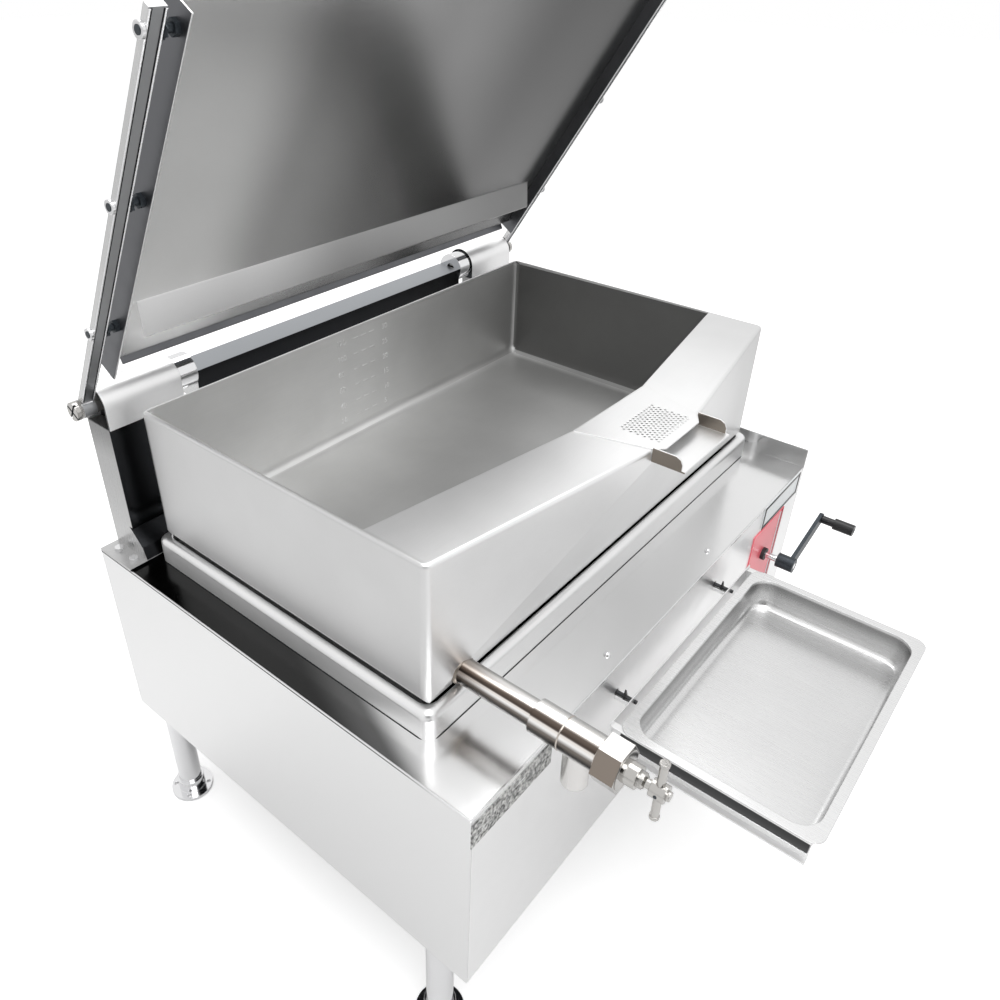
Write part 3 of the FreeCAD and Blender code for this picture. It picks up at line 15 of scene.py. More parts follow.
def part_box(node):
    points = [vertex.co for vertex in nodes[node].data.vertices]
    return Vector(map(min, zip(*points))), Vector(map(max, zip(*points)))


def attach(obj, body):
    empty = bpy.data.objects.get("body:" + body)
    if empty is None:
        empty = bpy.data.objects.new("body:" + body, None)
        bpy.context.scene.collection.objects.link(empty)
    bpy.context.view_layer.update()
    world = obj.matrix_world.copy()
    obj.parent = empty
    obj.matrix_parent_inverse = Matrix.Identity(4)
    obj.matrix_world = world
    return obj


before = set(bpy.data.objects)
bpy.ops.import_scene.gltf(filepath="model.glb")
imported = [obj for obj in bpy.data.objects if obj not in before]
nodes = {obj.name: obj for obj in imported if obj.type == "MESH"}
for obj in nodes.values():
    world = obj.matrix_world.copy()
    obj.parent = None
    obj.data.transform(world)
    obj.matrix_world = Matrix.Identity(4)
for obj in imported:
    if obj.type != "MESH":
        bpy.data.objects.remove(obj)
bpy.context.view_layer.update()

print("pieces from the model:", len(nodes))

# %% [markdown]
# ## Camera
# The photograph looks down on the front left corner. The camera's place was worked out from the
# straight edges of the housing and the pan, so it is written as a place, a heading, a downward
# tilt and a small roll. The shift moves the picture in its frame without turning the camera,
# because a turn would change the perspective.

# %% Camera
CAMERA_PLACE = Vector((-1.1559, -0.8906, 1.6551))
CAMERA_HEADING = math.radians(39.522)
CAMERA_TILT = math.radians(32.225)
CAMERA_ROLL = math.radians(0.698)
CAMERA_LENS = 30.574
CAMERA_SHIFT = (0.0421, -0.0290)


def make_camera():
    """Builds the camera from its heading, tilt and roll."""
    forward = Vector((math.cos(CAMERA_HEADING) * math.cos(CAMERA_TILT),
                      math.sin(CAMERA_HEADING) * math.cos(CAMERA_TILT), -math.sin(CAMERA_TILT)))
    right = Vector((math.sin(CAMERA_HEADING), -math.cos(CAMERA_HEADING), 0))
    up = right.cross(forward)
    rolled_right = right * math.cos(CAMERA_ROLL) + up * math.sin(CAMERA_ROLL)
    rolled_up = up * math.cos(CAMERA_ROLL) - right * math.sin(CAMERA_ROLL)
    data = bpy.data.cameras.new("camera")
    data.lens = CAMERA_LENS
    data.shift_x, data.shift_y = CAMERA_SHIFT
    data.clip_end = 100
    camera = bpy.data.objects.new("camera", data)
    turn = Matrix((rolled_right, rolled_up, -forward)).transposed()
    camera.matrix_world = Matrix.Translation(CAMERA_PLACE) @ turn.to_4x4()
    bpy.context.scene.collection.objects.link(camera)
    bpy.context.scene.camera = camera


make_camera()
bpy.context.scene.view_settings.view_transform = "Standard"
print("camera at", tuple(round(value, 3) for value in CAMERA_PLACE), "lens", CAMERA_LENS)

# %% [markdown]
# ## Colours and nodes
# A colour is easiest to pick as a hex code from a screen, but the shaders work in linear light, so
# one function turns the first into the second. Another adds a node with its settings and links in
# one line, which keeps every material below short enough to read.

# %% Helpers for colour and nodes


def linear(code):
    """A hex colour as linear red, green, blue and alpha."""
    parts = [int(code[k:k + 2], 16) / 255 for k in (1, 3, 5)]
    return tuple(c / 12.92 if c <= 0.04045 else ((c + 0.055) / 1.055) ** 2.4 for c in parts) + (1,)


def add(tree, kind, settings=None, links=None):
    """Adds a node: settings fill its sockets or properties, links join its inputs."""
    node = tree.nodes.new(kind)
    for name, value in (settings or {}).items():
        if isinstance(name, int) or name in node.inputs:
            node.inputs[name].default_value = value
        else:
            setattr(node, name, value)
    for name, source in (links or {}).items():
        tree.links.new(source, node.inputs[name])
    return node


def new_material(name):
    """An empty material: its tree and its surface shader."""
    material = bpy.data.materials.new(name)
    material.use_nodes = True
    tree = material.node_tree
    return material, tree, tree.nodes["Principled BSDF"]


print("mid grey in linear light:", round(linear("#808080")[0], 3))

# %% [markdown]
# ## Studio
# Steel shows its surroundings, so the room matters as much as the metal. A pale floor and a white
# world give the bright planes. Both are bright only where the camera or a reflection sees them:
# the Light Path node tells those rays from the ones that light the object, so the steel keeps its
# own tone and the floor keeps the object's shadow.

# %% White world
WORLD_LIGHT = 0.60


def seen_directly(tree, camera_share, mirror_share):
    """camera_share for rays from the camera, mirror_share for reflected and clear ones, else 0."""
    path = add(tree, "ShaderNodeLightPath")
    mirrored = add(tree, "ShaderNodeMath", {"operation": "MAXIMUM"},
                   {0: path.outputs["Is Glossy Ray"], 1: path.outputs["Is Transmission Ray"]})
    mirrored = add(tree, "ShaderNodeMath", {"operation": "MULTIPLY", 1: mirror_share},
                   {0: mirrored.outputs[0]})
    seen = add(tree, "ShaderNodeMath", {"operation": "MULTIPLY_ADD", 1: camera_share},
               {0: path.outputs["Is Camera Ray"], 2: mirrored.outputs[0]})
    return seen.outputs[0]


def make_world():
    """White to the camera and in reflections, softer as a light."""
    world = bpy.data.worlds.new("studio")
    bpy.context.scene.world = world
    world.use_nodes = True
    tree = world.node_tree
    strength = add(tree, "ShaderNodeMapRange", {"To Min": WORLD_LIGHT, "To Max": 1.0},
                   {"Value": seen_directly(tree, 1, 1)})
    background = tree.nodes["Background"]
    background.inputs["Color"].default_value = (1, 1, 1, 1)
    tree.links.new(strength.outputs["Result"], background.inputs["Strength"])


make_world()
print("world light:", WORLD_LIGHT)

# %% [markdown]
# The floor is matt white paint. It is a card just below the feet.

# %% Floor
FLOOR_SIZE = 40.0
FLOOR_DROP = -0.0005
FLOOR_GLOW = 0.52
MIRRORED_GLOW = 0.12


def stage_card(name, place, aim, size, material):
    """A flat card of the studio that faces a point. It isn't part of the object."""
    mesh = bpy.data.meshes.new(name)
    half_x, half_y = size[0] / 2, size[1] / 2
    mesh.from_pydata([(-half_x, -half_y, 0), (half_x, -half_y, 0), (half_x, half_y, 0),
                      (-half_x, half_y, 0)], [], [(0, 1, 2, 3)])
    card = bpy.data.objects.new(name, mesh)
    card.location = place
    card.rotation_euler = (Vector(aim) - Vector(place)).to_track_quat("Z", "Y").to_euler()
    card.data.materials.append(material)
    bpy.context.scene.collection.objects.link(card)
    return card


def floor_paint():
    """Matt white floor. Its glow is seen but lights nothing, so the object's shadow stays."""
    material, tree, surface = new_material("matt_white_floor")
    surface.inputs["Base Color"].default_value = linear("#EFEFEF")
    surface.inputs["Roughness"].default_value = 0.9
    surface.inputs["Emission Color"].default_value = (1, 1, 1, 1)
    glow = seen_directly(tree, FLOOR_GLOW, MIRRORED_GLOW)
    tree.links.new(glow, surface.inputs["Emission Strength"])
    return material


stage_card("floor", (0, 0, FLOOR_DROP), (0, 0, 1), (FLOOR_SIZE, FLOOR_SIZE), floor_paint())
print("floor side:", FLOOR_SIZE, "m")

# %% [markdown]
# A photographer stands a dark flag behind the camera, and it draws the grey bands that make steel
# look like steel. Two large soft boxes overhead light the fronts and the deck with soft shadows.

# %% Flag and lamps
FLAG_TONE = "#1A1A1A"
SOFT_BOX = 2.6


def flag(name, place, aim, size, tone):
    """A dark card that only reflections see."""
    material, tree, surface = new_material(name)
    surface.inputs["Base Color"].default_value = (0, 0, 0, 1)
    surface.inputs["Specular IOR Level"].default_value = 0
    surface.inputs["Emission Color"].default_value = linear(tone)
    surface.inputs["Emission Strength"].default_value = 1
    card = stage_card(name, place, aim, size, material)
    card.visible_camera = card.visible_diffuse = card.visible_shadow = False
    card.visible_transmission = False


def lamp(name, place, aim, size, watts):
    """A square soft box that looks at a point."""
    data = bpy.data.lights.new(name, "AREA")
    data.size = size
    data.energy = watts
    light = bpy.data.objects.new(name, data)
    light.location = place
    light.rotation_euler = (Vector(aim) - Vector(place)).to_track_quat("-Z", "Y").to_euler()
    bpy.context.scene.collection.objects.link(light)


flag("flag_behind_camera", (-2.6, -2.6, 2.2), (0, 0, 1.0), (2.6, 2.4), FLAG_TONE)
lamp("key_light", (-1.5, -1.9, 4.2), (0, 0, 0.8), SOFT_BOX, 75)
lamp("top_light", (0.9, 0.9, 4.2), (0, 0, 0.9), SOFT_BOX, 60)

# %% [markdown]
# ## Stainless steel
# Nearly everything is 304 stainless steel, a pale metal with a trace of warmth. What changes is
# how it was finished. Folded sheet also never has a knife edge, so both kinds of steel round their
# shading by 2 mm at each fold, and the fold catches the light. Large sheets are never quite even:
# they pick up haze and heat. Ramps between two places of the model give those slow changes, and
# most of them are painted shade and painted reflection, the dark of what stands over the sheet.
# They stay on the metal from every side, where a reflection painted for one view would slide.

# %% Edges and slow changes of tone
EDGE_MM = 2.0


def rounded_edges(tree, radius_mm):
    """Shades sharp edges as if rounded, so that each fold of the sheet catches the light."""
    bevel = add(tree, "ShaderNodeBevel", {"samples": 4, "Radius": radius_mm / 1000})
    return bevel.outputs["Normal"]


def toned(tree, colour, tones):
    """Multiplies a colour by ramps, each from one place to another with (share, hex) stops."""
    for start, end, stops in tones:
        way = Vector(end) - Vector(start)
        place = add(tree, "ShaderNodeTexCoord")
        moved = add(tree, "ShaderNodeVectorMath", {"operation": "SUBTRACT", 1: start},
                    {0: place.outputs["Object"]})
        share = add(tree, "ShaderNodeVectorMath",
                    {"operation": "DOT_PRODUCT", 1: way / way.length_squared},
                    {0: moved.outputs["Vector"]})
        ramp = add(tree, "ShaderNodeValToRGB", links={"Fac": share.outputs["Value"]})
        shades = ramp.color_ramp
        shades.interpolation = "EASE"
        while len(shades.elements) < len(stops):
            shades.elements.new(1)
        for element, (position, code) in zip(shades.elements, stops):
            element.position, element.color = position, linear(code)
        product = add(tree, "ShaderNodeVectorMath", {"operation": "MULTIPLY"},
                      {0: colour, 1: ramp.outputs["Color"]})
        colour = product.outputs["Vector"]
    return colour


def along_x(start, end, stops):
    """A ramp across the width, between two places in metres."""
    return (start, 0, 0), (end, 0, 0), stops


def along_z(start, end, stops):
    """A ramp up the height, between two places in metres."""
    return (0, 0, start), (0, 0, end), stops


print("edges shaded round by", EDGE_MM, "mm")

# %% [markdown]
# ### Sanded sheet
# A belt sander leaves long fine lines in one direction. The eye sees soft streaks instead of a
# clear reflection. Stretched noise gives the lines: it changes 60 times faster across them than
# along them. Real lines are a tenth of a millimetre apart, far finer than a pixel, so they are
# drawn 1.2 mm apart. The same noise drives the roughness, the bump and a trace of tone.

# %% Brushed stainless
LINE_MM = 1.2
LINE_STRETCH = 60
BUMP_DEPTH = 0.0004


def brushed_stainless(name, tint, roughness, along, tones=(), metallic=0.85, depth=0.03,
                      cloudy=0.03, line_mm=LINE_MM):
    """Stainless steel with sanding lines along one axis of the model, line_mm apart."""
    material, tree, surface = new_material(name)
    surface.inputs["Metallic"].default_value = metallic
    place = add(tree, "ShaderNodeTexCoord")
    across = 1000 / line_mm
    stretch = [across / LINE_STRETCH if axis == along else across for axis in "xyz"]
    lines = add(tree, "ShaderNodeMapping", {"Scale": stretch}, {"Vector": place.outputs["Object"]})
    grain = add(tree, "ShaderNodeTexNoise", {"Scale": 1, "Detail": 3, "Roughness": 0.6},
                {"Vector": lines.outputs["Vector"]})
    cloud = add(tree, "ShaderNodeTexNoise", {"Scale": 6, "Detail": 4},
                {"Vector": place.outputs["Object"]})
    rough = add(tree, "ShaderNodeMapRange",
                {"From Min": 0.3, "From Max": 0.7, "To Min": roughness * 0.93,
                 "To Max": roughness * 1.07}, {"Value": grain.outputs["Fac"]})
    tree.links.new(rough.outputs["Result"], surface.inputs["Roughness"])
    mixed = add(tree, "ShaderNodeMath", {"operation": "MULTIPLY_ADD", 1: 0.4},
                {0: grain.outputs["Fac"], 2: cloud.outputs["Fac"]})
    shade = add(tree, "ShaderNodeValToRGB", links={"Fac": mixed.outputs[0]})
    dull, full = shade.color_ramp.elements
    dull.position, full.position = 0.5, 0.9
    red, green, blue, _ = linear(tint)
    dimmed = 1 - 2 * cloudy
    dull.color = (red * dimmed, green * dimmed, blue * dimmed, 1)
    full.color = (red, green, blue, 1)
    tree.links.new(toned(tree, shade.outputs["Color"], tones), surface.inputs["Base Color"])
    bump = add(tree, "ShaderNodeBump", {"Strength": depth, "Distance": BUMP_DEPTH},
               {"Height": grain.outputs["Fac"], "Normal": rounded_edges(tree, EDGE_MM)})
    tree.links.new(bump.outputs["Normal"], surface.inputs["Normal"])
    return material


print("sanding lines:", LINE_MM, "mm apart and", round(LINE_MM * LINE_STRETCH), "mm long")

# %% [markdown]
# ### Polished sheet
# Polishing leaves a near mirror. Rolled sheet is a little wavy, so a slow ripple bends what it
# reflects, and a fine haze from wiping changes how sharp the reflection is from place to place.

# %% Polished stainless
RIPPLE_DEPTH = 0.004


def polished_stainless(name, tint, roughness, ripple, tones=()):
    """Mirror-polished sheet: almost flat, with a slow ripple that bends reflections."""
    material, tree, surface = new_material(name)
    surface.inputs["Metallic"].default_value = 1
    surface.inputs["Base Color"].default_value = linear(tint)
    if tones:
        plain = add(tree, "ShaderNodeCombineXYZ", dict(enumerate(linear(tint)[:3])))
        tree.links.new(toned(tree, plain.outputs["Vector"], tones), surface.inputs["Base Color"])
    place = add(tree, "ShaderNodeTexCoord")
    wave = add(tree, "ShaderNodeTexNoise", {"Scale": 2.2, "Detail": 1},
               {"Vector": place.outputs["Object"]})
    haze = add(tree, "ShaderNodeTexNoise", {"Scale": 30, "Detail": 4},
               {"Vector": place.outputs["Object"]})
    rough = add(tree, "ShaderNodeMapRange", {"To Min": roughness * 0.7, "To Max": roughness * 1.4},
                {"Value": haze.outputs["Fac"]})
    tree.links.new(rough.outputs["Result"], surface.inputs["Roughness"])
    bump = add(tree, "ShaderNodeBump", {"Strength": ripple, "Distance": RIPPLE_DEPTH},
               {"Height": wave.outputs["Fac"], "Normal": rounded_edges(tree, EDGE_MM)})
    tree.links.new(bump.outputs["Normal"], surface.inputs["Normal"])
    return material


print("ripple depth:", RIPPLE_DEPTH * 1000, "mm")

# %% [markdown]
# ### Steel of the pan
# The outside is sanded, a soft pale grey that darkens a little at both ends. The inside is bead
# blasted, which gives a cloudy, darker grey with no streaks: its roughness is high, so nothing is
# mirrored in it. Its grey carries painted shade that deepens towards the right. The floor, the
# right wall and the underside of the flare get painted shade of their own, a deeper tone of the
# same grey, because less light reaches them. The catering pan is drawn from bright sheet, and
# painted shade makes its walls darker than its floor, deepest just under the rim, which has a
# painted highlight.

# %% Pan, spout and catering pan
strainer_low, strainer_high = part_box("strainer")
STRAINER_X = (strainer_low[0] + strainer_high[0]) / 2
pan_steel = brushed_stainless("satin_stainless_pan", "#F0F0F0", 0.36, "x", [
    along_x(-0.5215, 0.55, [(0.002, "#E4E4E4"), (0.012, "#FFFFFF"), (0.6, "#FFFFFF"),
                            (1, "#E4E4E4")])])
# Painted shade up the walls of the catering pan, and a painted highlight along its rim.
tray_steel = brushed_stainless("satin_stainless_tray", "#E2E2E2", 0.28, "y", [
    along_z(0.529, 0.594, [(0, "#F4F4F4"), (0.15, "#FFFFFF"), (0.40, "#E6E6E6"),
                           (0.88, "#A8A8A8"), (0.95, "#FFFFFF")])])
# Painted shade that deepens towards the right of the inside.
blasted = brushed_stainless("bead_blasted_stainless", "#F3F3F2", 0.50, "x", [
    along_x(-0.52, 0.55, [(0, "#F0F0F0"), (0.45, "#FFFFFF"), (0.75, "#D8D8D8"),
                          (1, "#C4C4C4")])], depth=0.05, cloudy=0.05)
# Painted shade: deeper tones of the same blasted grey for the floor and the right wall.
blasted_floor = brushed_stainless("bead_blasted_stainless_floor", "#DDDDDC", 0.50, "x",
                                  depth=0.05, cloudy=0.05)
blasted_shade = brushed_stainless("bead_blasted_stainless_shade", "#737372", 0.50, "y",
                                  depth=0.05, cloudy=0.05)
# Painted shade, darkest under the strainer, where its holes look down into the hollow of the
# flare.
blasted_flare = brushed_stainless("bead_blasted_stainless_flare", "#A4A4A3", 0.50, "x", [
    along_x(STRAINER_X - 0.14, STRAINER_X + 0.22,
            [(0, "#FFFFFF"), (0.2, "#303030"), (0.78, "#303030"), (1, "#FFFFFF")])],
    depth=0.05, cloudy=0.05)
# Tinted straw to brown by welding heat on the ring of the tube. On the cheeks of the spout the
# same brown-grey is painted shade.
heat_tint_and_shade = brushed_stainless("heat_tint_and_shade_stainless", "#8B837A", 0.32, "y")
# Pressed marks are worn bright.
mark_steel = brushed_stainless("pressed_mark_stainless", "#FFFFFF", 0.30, "x", depth=0.02)
print("pan finishes start with", pan_steel.name)

# %% [markdown]
# ### Steel of the lid and its columns
# The liner under the lid is sanded. Its tone is painted reflection: pale at the left, sinking to
# a deep grey at the right, where it looks down into the pan, and a little darker higher up. The
# drip strip in front of it has the same painted reflection and is a little more matt. The columns
# carry painted shade that deepens towards the hinge, under the hoods.

# %% Lid, hoods and columns
# Painted reflection: pale at the left, a deep grey at the right, darker higher up.
liner_steel = brushed_stainless("satin_stainless_liner", "#FAFAFA", 0.24, "x", [
    along_x(-0.53, 0.50, [(0.12, "#FFFFFF"), (0.27, "#C6C6C6"), (0.50, "#A2A2A2"),
                          (0.8, "#6C6C6C")]),
    along_z(1.10, 1.45, [(0, "#FFFFFF"), (1, "#DCDCDC")])])
# The same painted reflection on the drip strip.
strip_steel = brushed_stainless("satin_stainless_strip", "#FAFAFA", 0.30, "x", [
    along_x(-0.50, 0.53, [(0, "#FFFFFF"), (0.2, "#F4F4F4"), (0.45, "#B8B8B8"),
                          (1, "#909090")])], metallic=0.6, depth=0.01, cloudy=0.02)
# Painted shade that deepens towards the hinge, under the hoods.
column_steel = brushed_stainless("satin_stainless_column", "#C6C6C6", 0.28, "z", [
    along_z(0.66, 0.93, [(0, "#FFFFFF"), (0.7, "#E6E6E6"), (0.96, "#B4B4B4"), (1, "#8C8C8C")])])
# Finely sanded to an almost white satin.
hood_steel = brushed_stainless("satin_stainless_hood", "#FAFAFA", 0.42, "x")
# Painted reflection: a cool mid grey on the beam's top, which looks up under the lid.
beam_top_steel = brushed_stainless("satin_stainless_beam_top", "#96999D", 0.34, "x")
# Painted shade: darker and duller than the rails on both sides of it, so the arm reads as a
# channel.
web_steel = brushed_stainless("satin_stainless_web", "#A4A5A7", 0.34, "z")
# Painted shade: dark grey with blurred reflections, on the edge of the lid that faces its arm.
skirt_steel = polished_stainless("polished_stainless_skirt", "#6E6F72", 0.36, 0.03)
print("lid finishes start with", liner_steel.name)

# %% [markdown]
# ### Steel of the housing
# Side panels and deck are polished. The deck's left strip, which lies under the lid arm, gets
# painted shade from its first ramp, and a second ramp dims the deck a little near its middle.
# The front and the collar are duller, so they read as broad, even planes.

# %% Housing
BARE_STEEL = "#DEDEDE"
# Streaks along the bars of the frame, and up the arms of the lid.
satin_x = brushed_stainless("satin_stainless_lines_across", BARE_STEEL, 0.26, "x")
satin_z = brushed_stainless("satin_stainless_lines_up", BARE_STEEL, 0.26, "z")
# A broad soft highlight along the rolled top, and a duller web below it.
collar_steel = brushed_stainless("satin_stainless_collar", "#EDEDED", 0.30, "x")
collar_web = brushed_stainless("satin_stainless_collar_web", "#F4F4F4", 0.34, "y", metallic=0.55)
# Clear reflections that bend with the waves of the sheet.
panel_steel = polished_stainless("polished_stainless_panel", "#E6E6E6", 0.14, 0.06)
# Buffed less: an even pale plane without clear reflections.
front_steel = polished_stainless("polished_stainless_front", "#F0F0F0", 0.34, 0.05)
# Painted shade: almost black, standing for a mirror that sees only dark.
deep_steel = polished_stainless("polished_stainless_deep_shade", "#2C2D2F", 0.20, 0.03)
# Painted shade on the deck's left strip, under the lid arm.
deck_steel = polished_stainless("polished_stainless_deck", "#F2F2F2", 0.18, 0.06, [
    ((-0.56, 0.45, 0), (-0.2713, 0.3364, 0),
     [(0, "#3C3C3C"), (0.62, "#464646"), (0.80, "#787878"), (0.93, "#FFFFFF")]),
    along_x(-0.45, 0.55, [(0, "#FFFFFF"), (0.40, "#E3E3E3"), (0.65, "#F1F1F1"),
                          (1, "#F4F4F4")])])
print("housing finishes start with", panel_steel.name)

# %% [markdown]
# ### Tubes and fittings
# Legs, bolts and pins are polished tube and bar. The draw-off tube is drawn and buffed round and
# round, and such a cylinder mirrors its room as long light and dark bands. Here the bands are
# painted reflections: each is a stop of one ramp that runs slantwise through the tube, from its
# upper right to its lower left, and a second ramp darkens the end that the weld has heated.

# %% Tubes and fittings
MIRROR_STEEL = "#E6E6E7"
SLANT = 0.7071
TUBE_MM, VALVE_MM = 20.5, 26.0
# Painted reflections: the light and dark bands across the tube.
TUBE_REFLECTION_BANDS = [(0, "#C8C8C8"), (0.10, "#FFFFFF"), (0.26, "#F2EEEA"), (0.36, "#6A5F57"),
              (0.50, "#4C423C"), (0.56, "#F4F0EC"), (0.64, "#FFFFFF"), (0.76, "#77716C"),
              (0.90, "#2C2A29"), (1, "#E8E8E8")]
WELD_HEAT = ((0, -0.32, 0), (0, -0.40, 0), [(0, "#A8A09A"), (1, "#FFFFFF")])


def banded_tube(name, radius_mm):
    """Buffed tube on the draw-off's axis, with bands of painted reflection across the whole width.
    """
    low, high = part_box("drain_tube")
    centre_x, centre_z = (low[0] + high[0]) / 2, (low[2] + high[2]) / 2
    reach = radius_mm / 1000 * SLANT
    bands = ((centre_x + reach, 0, centre_z + reach), (centre_x - reach, 0, centre_z - reach),
             TUBE_REFLECTION_BANDS)
    return brushed_stainless(name, "#F4F2F0", 0.20, "y", [bands, WELD_HEAT], depth=0.02,
                             cloudy=0.02)


# Near mirrors: thin bright lines along round edges.
tube_steel = polished_stainless("polished_stainless_tube", MIRROR_STEEL, 0.10, 0.02)
fitting_steel = polished_stainless("polished_stainless_fitting", "#BDBBB8", 0.14, 0.02)
# Warmed by welding and by the cutting tool, so faintly brown.
warm_steel = polished_stainless("warm_polished_stainless", "#C9C1B9", 0.16, 0.02)
# A painted brown reflection for one facet of the valve's nut.
nut_facet_reflection = brushed_stainless("painted_brown_reflection_stainless", "#8C8279", 0.30, "y")
drain_steel = banded_tube("banded_stainless_tube", TUBE_MM)
valve_steel = banded_tube("banded_stainless_valve", VALVE_MM)
print("bands on the draw-off tube:", len(TUBE_REFLECTION_BANDS))

# %% [markdown]
# ## Castings, paints and plastics
# These have an all-over grain and no direction. Sand leaves cast iron pitted, powder coat and
# enamel keep a faint orange peel, and moulded plastic has a fine even texture from its tool. One
# noise at the size of the grain gives the tone and the bump of each of them.

# %% Grainy finishes
GRAIN_DEPTH = 0.0006


def grainy(name, tint, dark_tint, metallic, roughness, grain_mm, depth):
    """A finish with an all-over grain between two tones, grain_mm wide."""
    material, tree, surface = new_material(name)
    surface.inputs["Metallic"].default_value = metallic
    surface.inputs["Roughness"].default_value = roughness
    place = add(tree, "ShaderNodeTexCoord")
    grain = add(tree, "ShaderNodeTexNoise", {"Scale": 1000 / grain_mm, "Detail": 4},
                {"Vector": place.outputs["Object"]})
    shade = add(tree, "ShaderNodeValToRGB", links={"Fac": grain.outputs["Fac"]})
    dark, pale = shade.color_ramp.elements
    dark.position, pale.position = 0.35, 0.65
    dark.color, pale.color = linear(dark_tint), linear(tint)
    tree.links.new(shade.outputs["Color"], surface.inputs["Base Color"])
    bump = add(tree, "ShaderNodeBump", {"Strength": depth, "Distance": GRAIN_DEPTH},
               {"Height": grain.outputs["Fac"]})
    tree.links.new(bump.outputs["Normal"], surface.inputs["Normal"])
    return material


# Pitted and dull, so it drinks the light.
cast_iron = grainy("cast_iron", "#4A4B4D", "#343537", 0.6, 0.55, 1.5, 0.4)
# A cast wheel gone brown, with a soft gleam.
bronze = grainy("dull_bronze", "#8E7F76", "#75675F", 1.0, 0.34, 2.0, 0.15)
# Glossy, painted pale towards pink for the strong light on it; the edge strip is the same red
# in painted shade.
red_enamel = grainy("red_enamel", "#F87884", "#F26C78", 0.0, 0.30, 3.0, 0.05)
shaded_red_enamel = grainy("red_enamel_painted_shade", "#B4283A", "#A82234", 0.0, 0.30, 3.0, 0.05)
# A smooth printed-on plate, a cool white beside the warmer steel.
white_vinyl = grainy("white_vinyl_plate", "#F2F4F5", "#E4E8EA", 0.0, 0.35, 3.0, 0.05)
# Black coat scraped down to bright metal in patches of 5 mm.
worn_black = grainy("worn_black_trim", "#DADAD8", "#3C3C3C", 0.2, 0.50, 5.0, 0.8)
# Blued by a hot bath: a blue-black with a dull gleam.
oxide_black = grainy("black_oxide_steel", "#41474C", "#33383D", 0.7, 0.38, 2.0, 0.15)
# Near black with a small sharp highlight, as new plastic has.
moulded_black = grainy("moulded_black_plastic", "#1B1C1E", "#141517", 0.0, 0.28, 1.5, 0.08)
# Hot-rolled bar with its scale on, coarser than sheet.
dark_steel = brushed_stainless("scaled_steel", "#77777A", 0.45, "x", depth=0.2, line_mm=2.0)
print("materials so far:", len(bpy.data.materials))

# %% [markdown]
# ## Which piece gets which finish
# The model's pieces keep their shapes, and each gets its metal here. Sanding lines follow the long
# side of a piece, as the belt would. One table says it all, so a wrong finish is easy to find.

# %% Dress the model's pieces
FINISH_OF = {
    "deck_plate": deck_steel, "side_panel_left": panel_steel, "side_panel_right": panel_steel,
    "front_panel": front_steel, "rear_panel": panel_steel, "front_trim": worn_black,
    "deck_screws": tube_steel, "deck_collar": collar_steel, "base_frame": satin_x,
    "leg_front_left": tube_steel, "leg_front_right": tube_steel, "leg_rear_left": tube_steel,
    "leg_rear_right": tube_steel, "lid_column_left": column_steel,
    "lid_column_right": column_steel, "hinge_hood_left": hood_steel,
    "hinge_hood_right": hood_steel, "column_bolts": tube_steel, "lid_springs": dark_steel,
    "hinge_sleeves": tube_steel, "cross_beam": satin_x, "bearing_block_left": cast_iron,
    "bearing_block_right": cast_iron, "gear_bearings": cast_iron, "pan_carrier": pan_steel,
    "control_panel": red_enamel, "blank_plate": white_vinyl, "lid_skin": front_steel,
    "lid_liner": liner_steel, "lid_rear_rim": skirt_steel, "lid_drip_strip": strip_steel,
    "arm_bolts_left": tube_steel, "arm_bolts_right": tube_steel, "lid_arm_left": satin_z,
    "lid_arm_right": satin_z, "hinge_shaft_left": fitting_steel,
    "hinge_shaft_right": fitting_steel, "lid_handle": tube_steel, "pan_shell": pan_steel,
    "spout": pan_steel, "heater_casing": satin_x, "heating_element": dark_steel,
    "tilt_shaft": tube_steel, "tilt_arm_left": dark_steel, "tilt_arm_right": dark_steel,
    "worm_wheel": bronze, "drain_tube": drain_steel, "valve_body": valve_steel,
    "valve_nut": fitting_steel, "strainer": pan_steel, "valve_stem": fitting_steel,
    "valve_handle": fitting_steel, "worm_shaft": dark_steel, "crank_shaft": tube_steel,
    "crank_arm": oxide_black, "crank_grip": moulded_black, "catering_pan": tray_steel,
    "thermostat_knob": moulded_black, "power_switch": moulded_black,
}
for name, finish in FINISH_OF.items():
    shape = nodes[name]
    shape.data.materials.clear()
    shape.data.materials.append(finish)
print("finishes given:", len(FINISH_OF), "of", len(nodes))

# %% [markdown]
# The pan is one solid, so the blasted finish of its inside goes on face by face: a face belongs to
# the inside if it lies well inside the walls and looks towards the middle. Later finishes win, so
# the painted shade of the floor, the right wall and the underside of the flare follows.

# %% Blasted inside of the pan
INSIDE_MARGIN = 0.004
RIM_MARGIN = 0.0035
PAN_DEPTH, FLARE_REACH = 0.650, 0.07
pan_low, pan_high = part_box("pan_shell")
pan_middle = (Vector(pan_low) + Vector(pan_high)) / 2
PAN_BODY_FRONT = pan_high[1] - PAN_DEPTH


def second_finish(name, finish, picks):
    """Gives another finish to the faces of a piece for which picks(centre, normal) is true."""
    mesh = nodes[name].data
    mesh.materials.append(finish)
    chosen = [face for face in mesh.polygons if picks(face.center, face.normal)]
    for face in chosen:
        face.material_index = len(mesh.materials) - 1
    print(name, "faces with", finish.name, ":", len(chosen), "of", len(mesh.polygons))


def inside_pan(centre, normal):
    """True on the walls, coves and floor that face into the pan."""
    within = (pan_low[0] + INSIDE_MARGIN < centre.x < pan_high[0] - INSIDE_MARGIN
              and PAN_BODY_FRONT - FLARE_REACH < centre.y < pan_high[1] - INSIDE_MARGIN
              and pan_low[2] + INSIDE_MARGIN < centre.z < pan_high[2] - RIM_MARGIN)
    return within and (pan_middle - centre).dot(normal) > 0


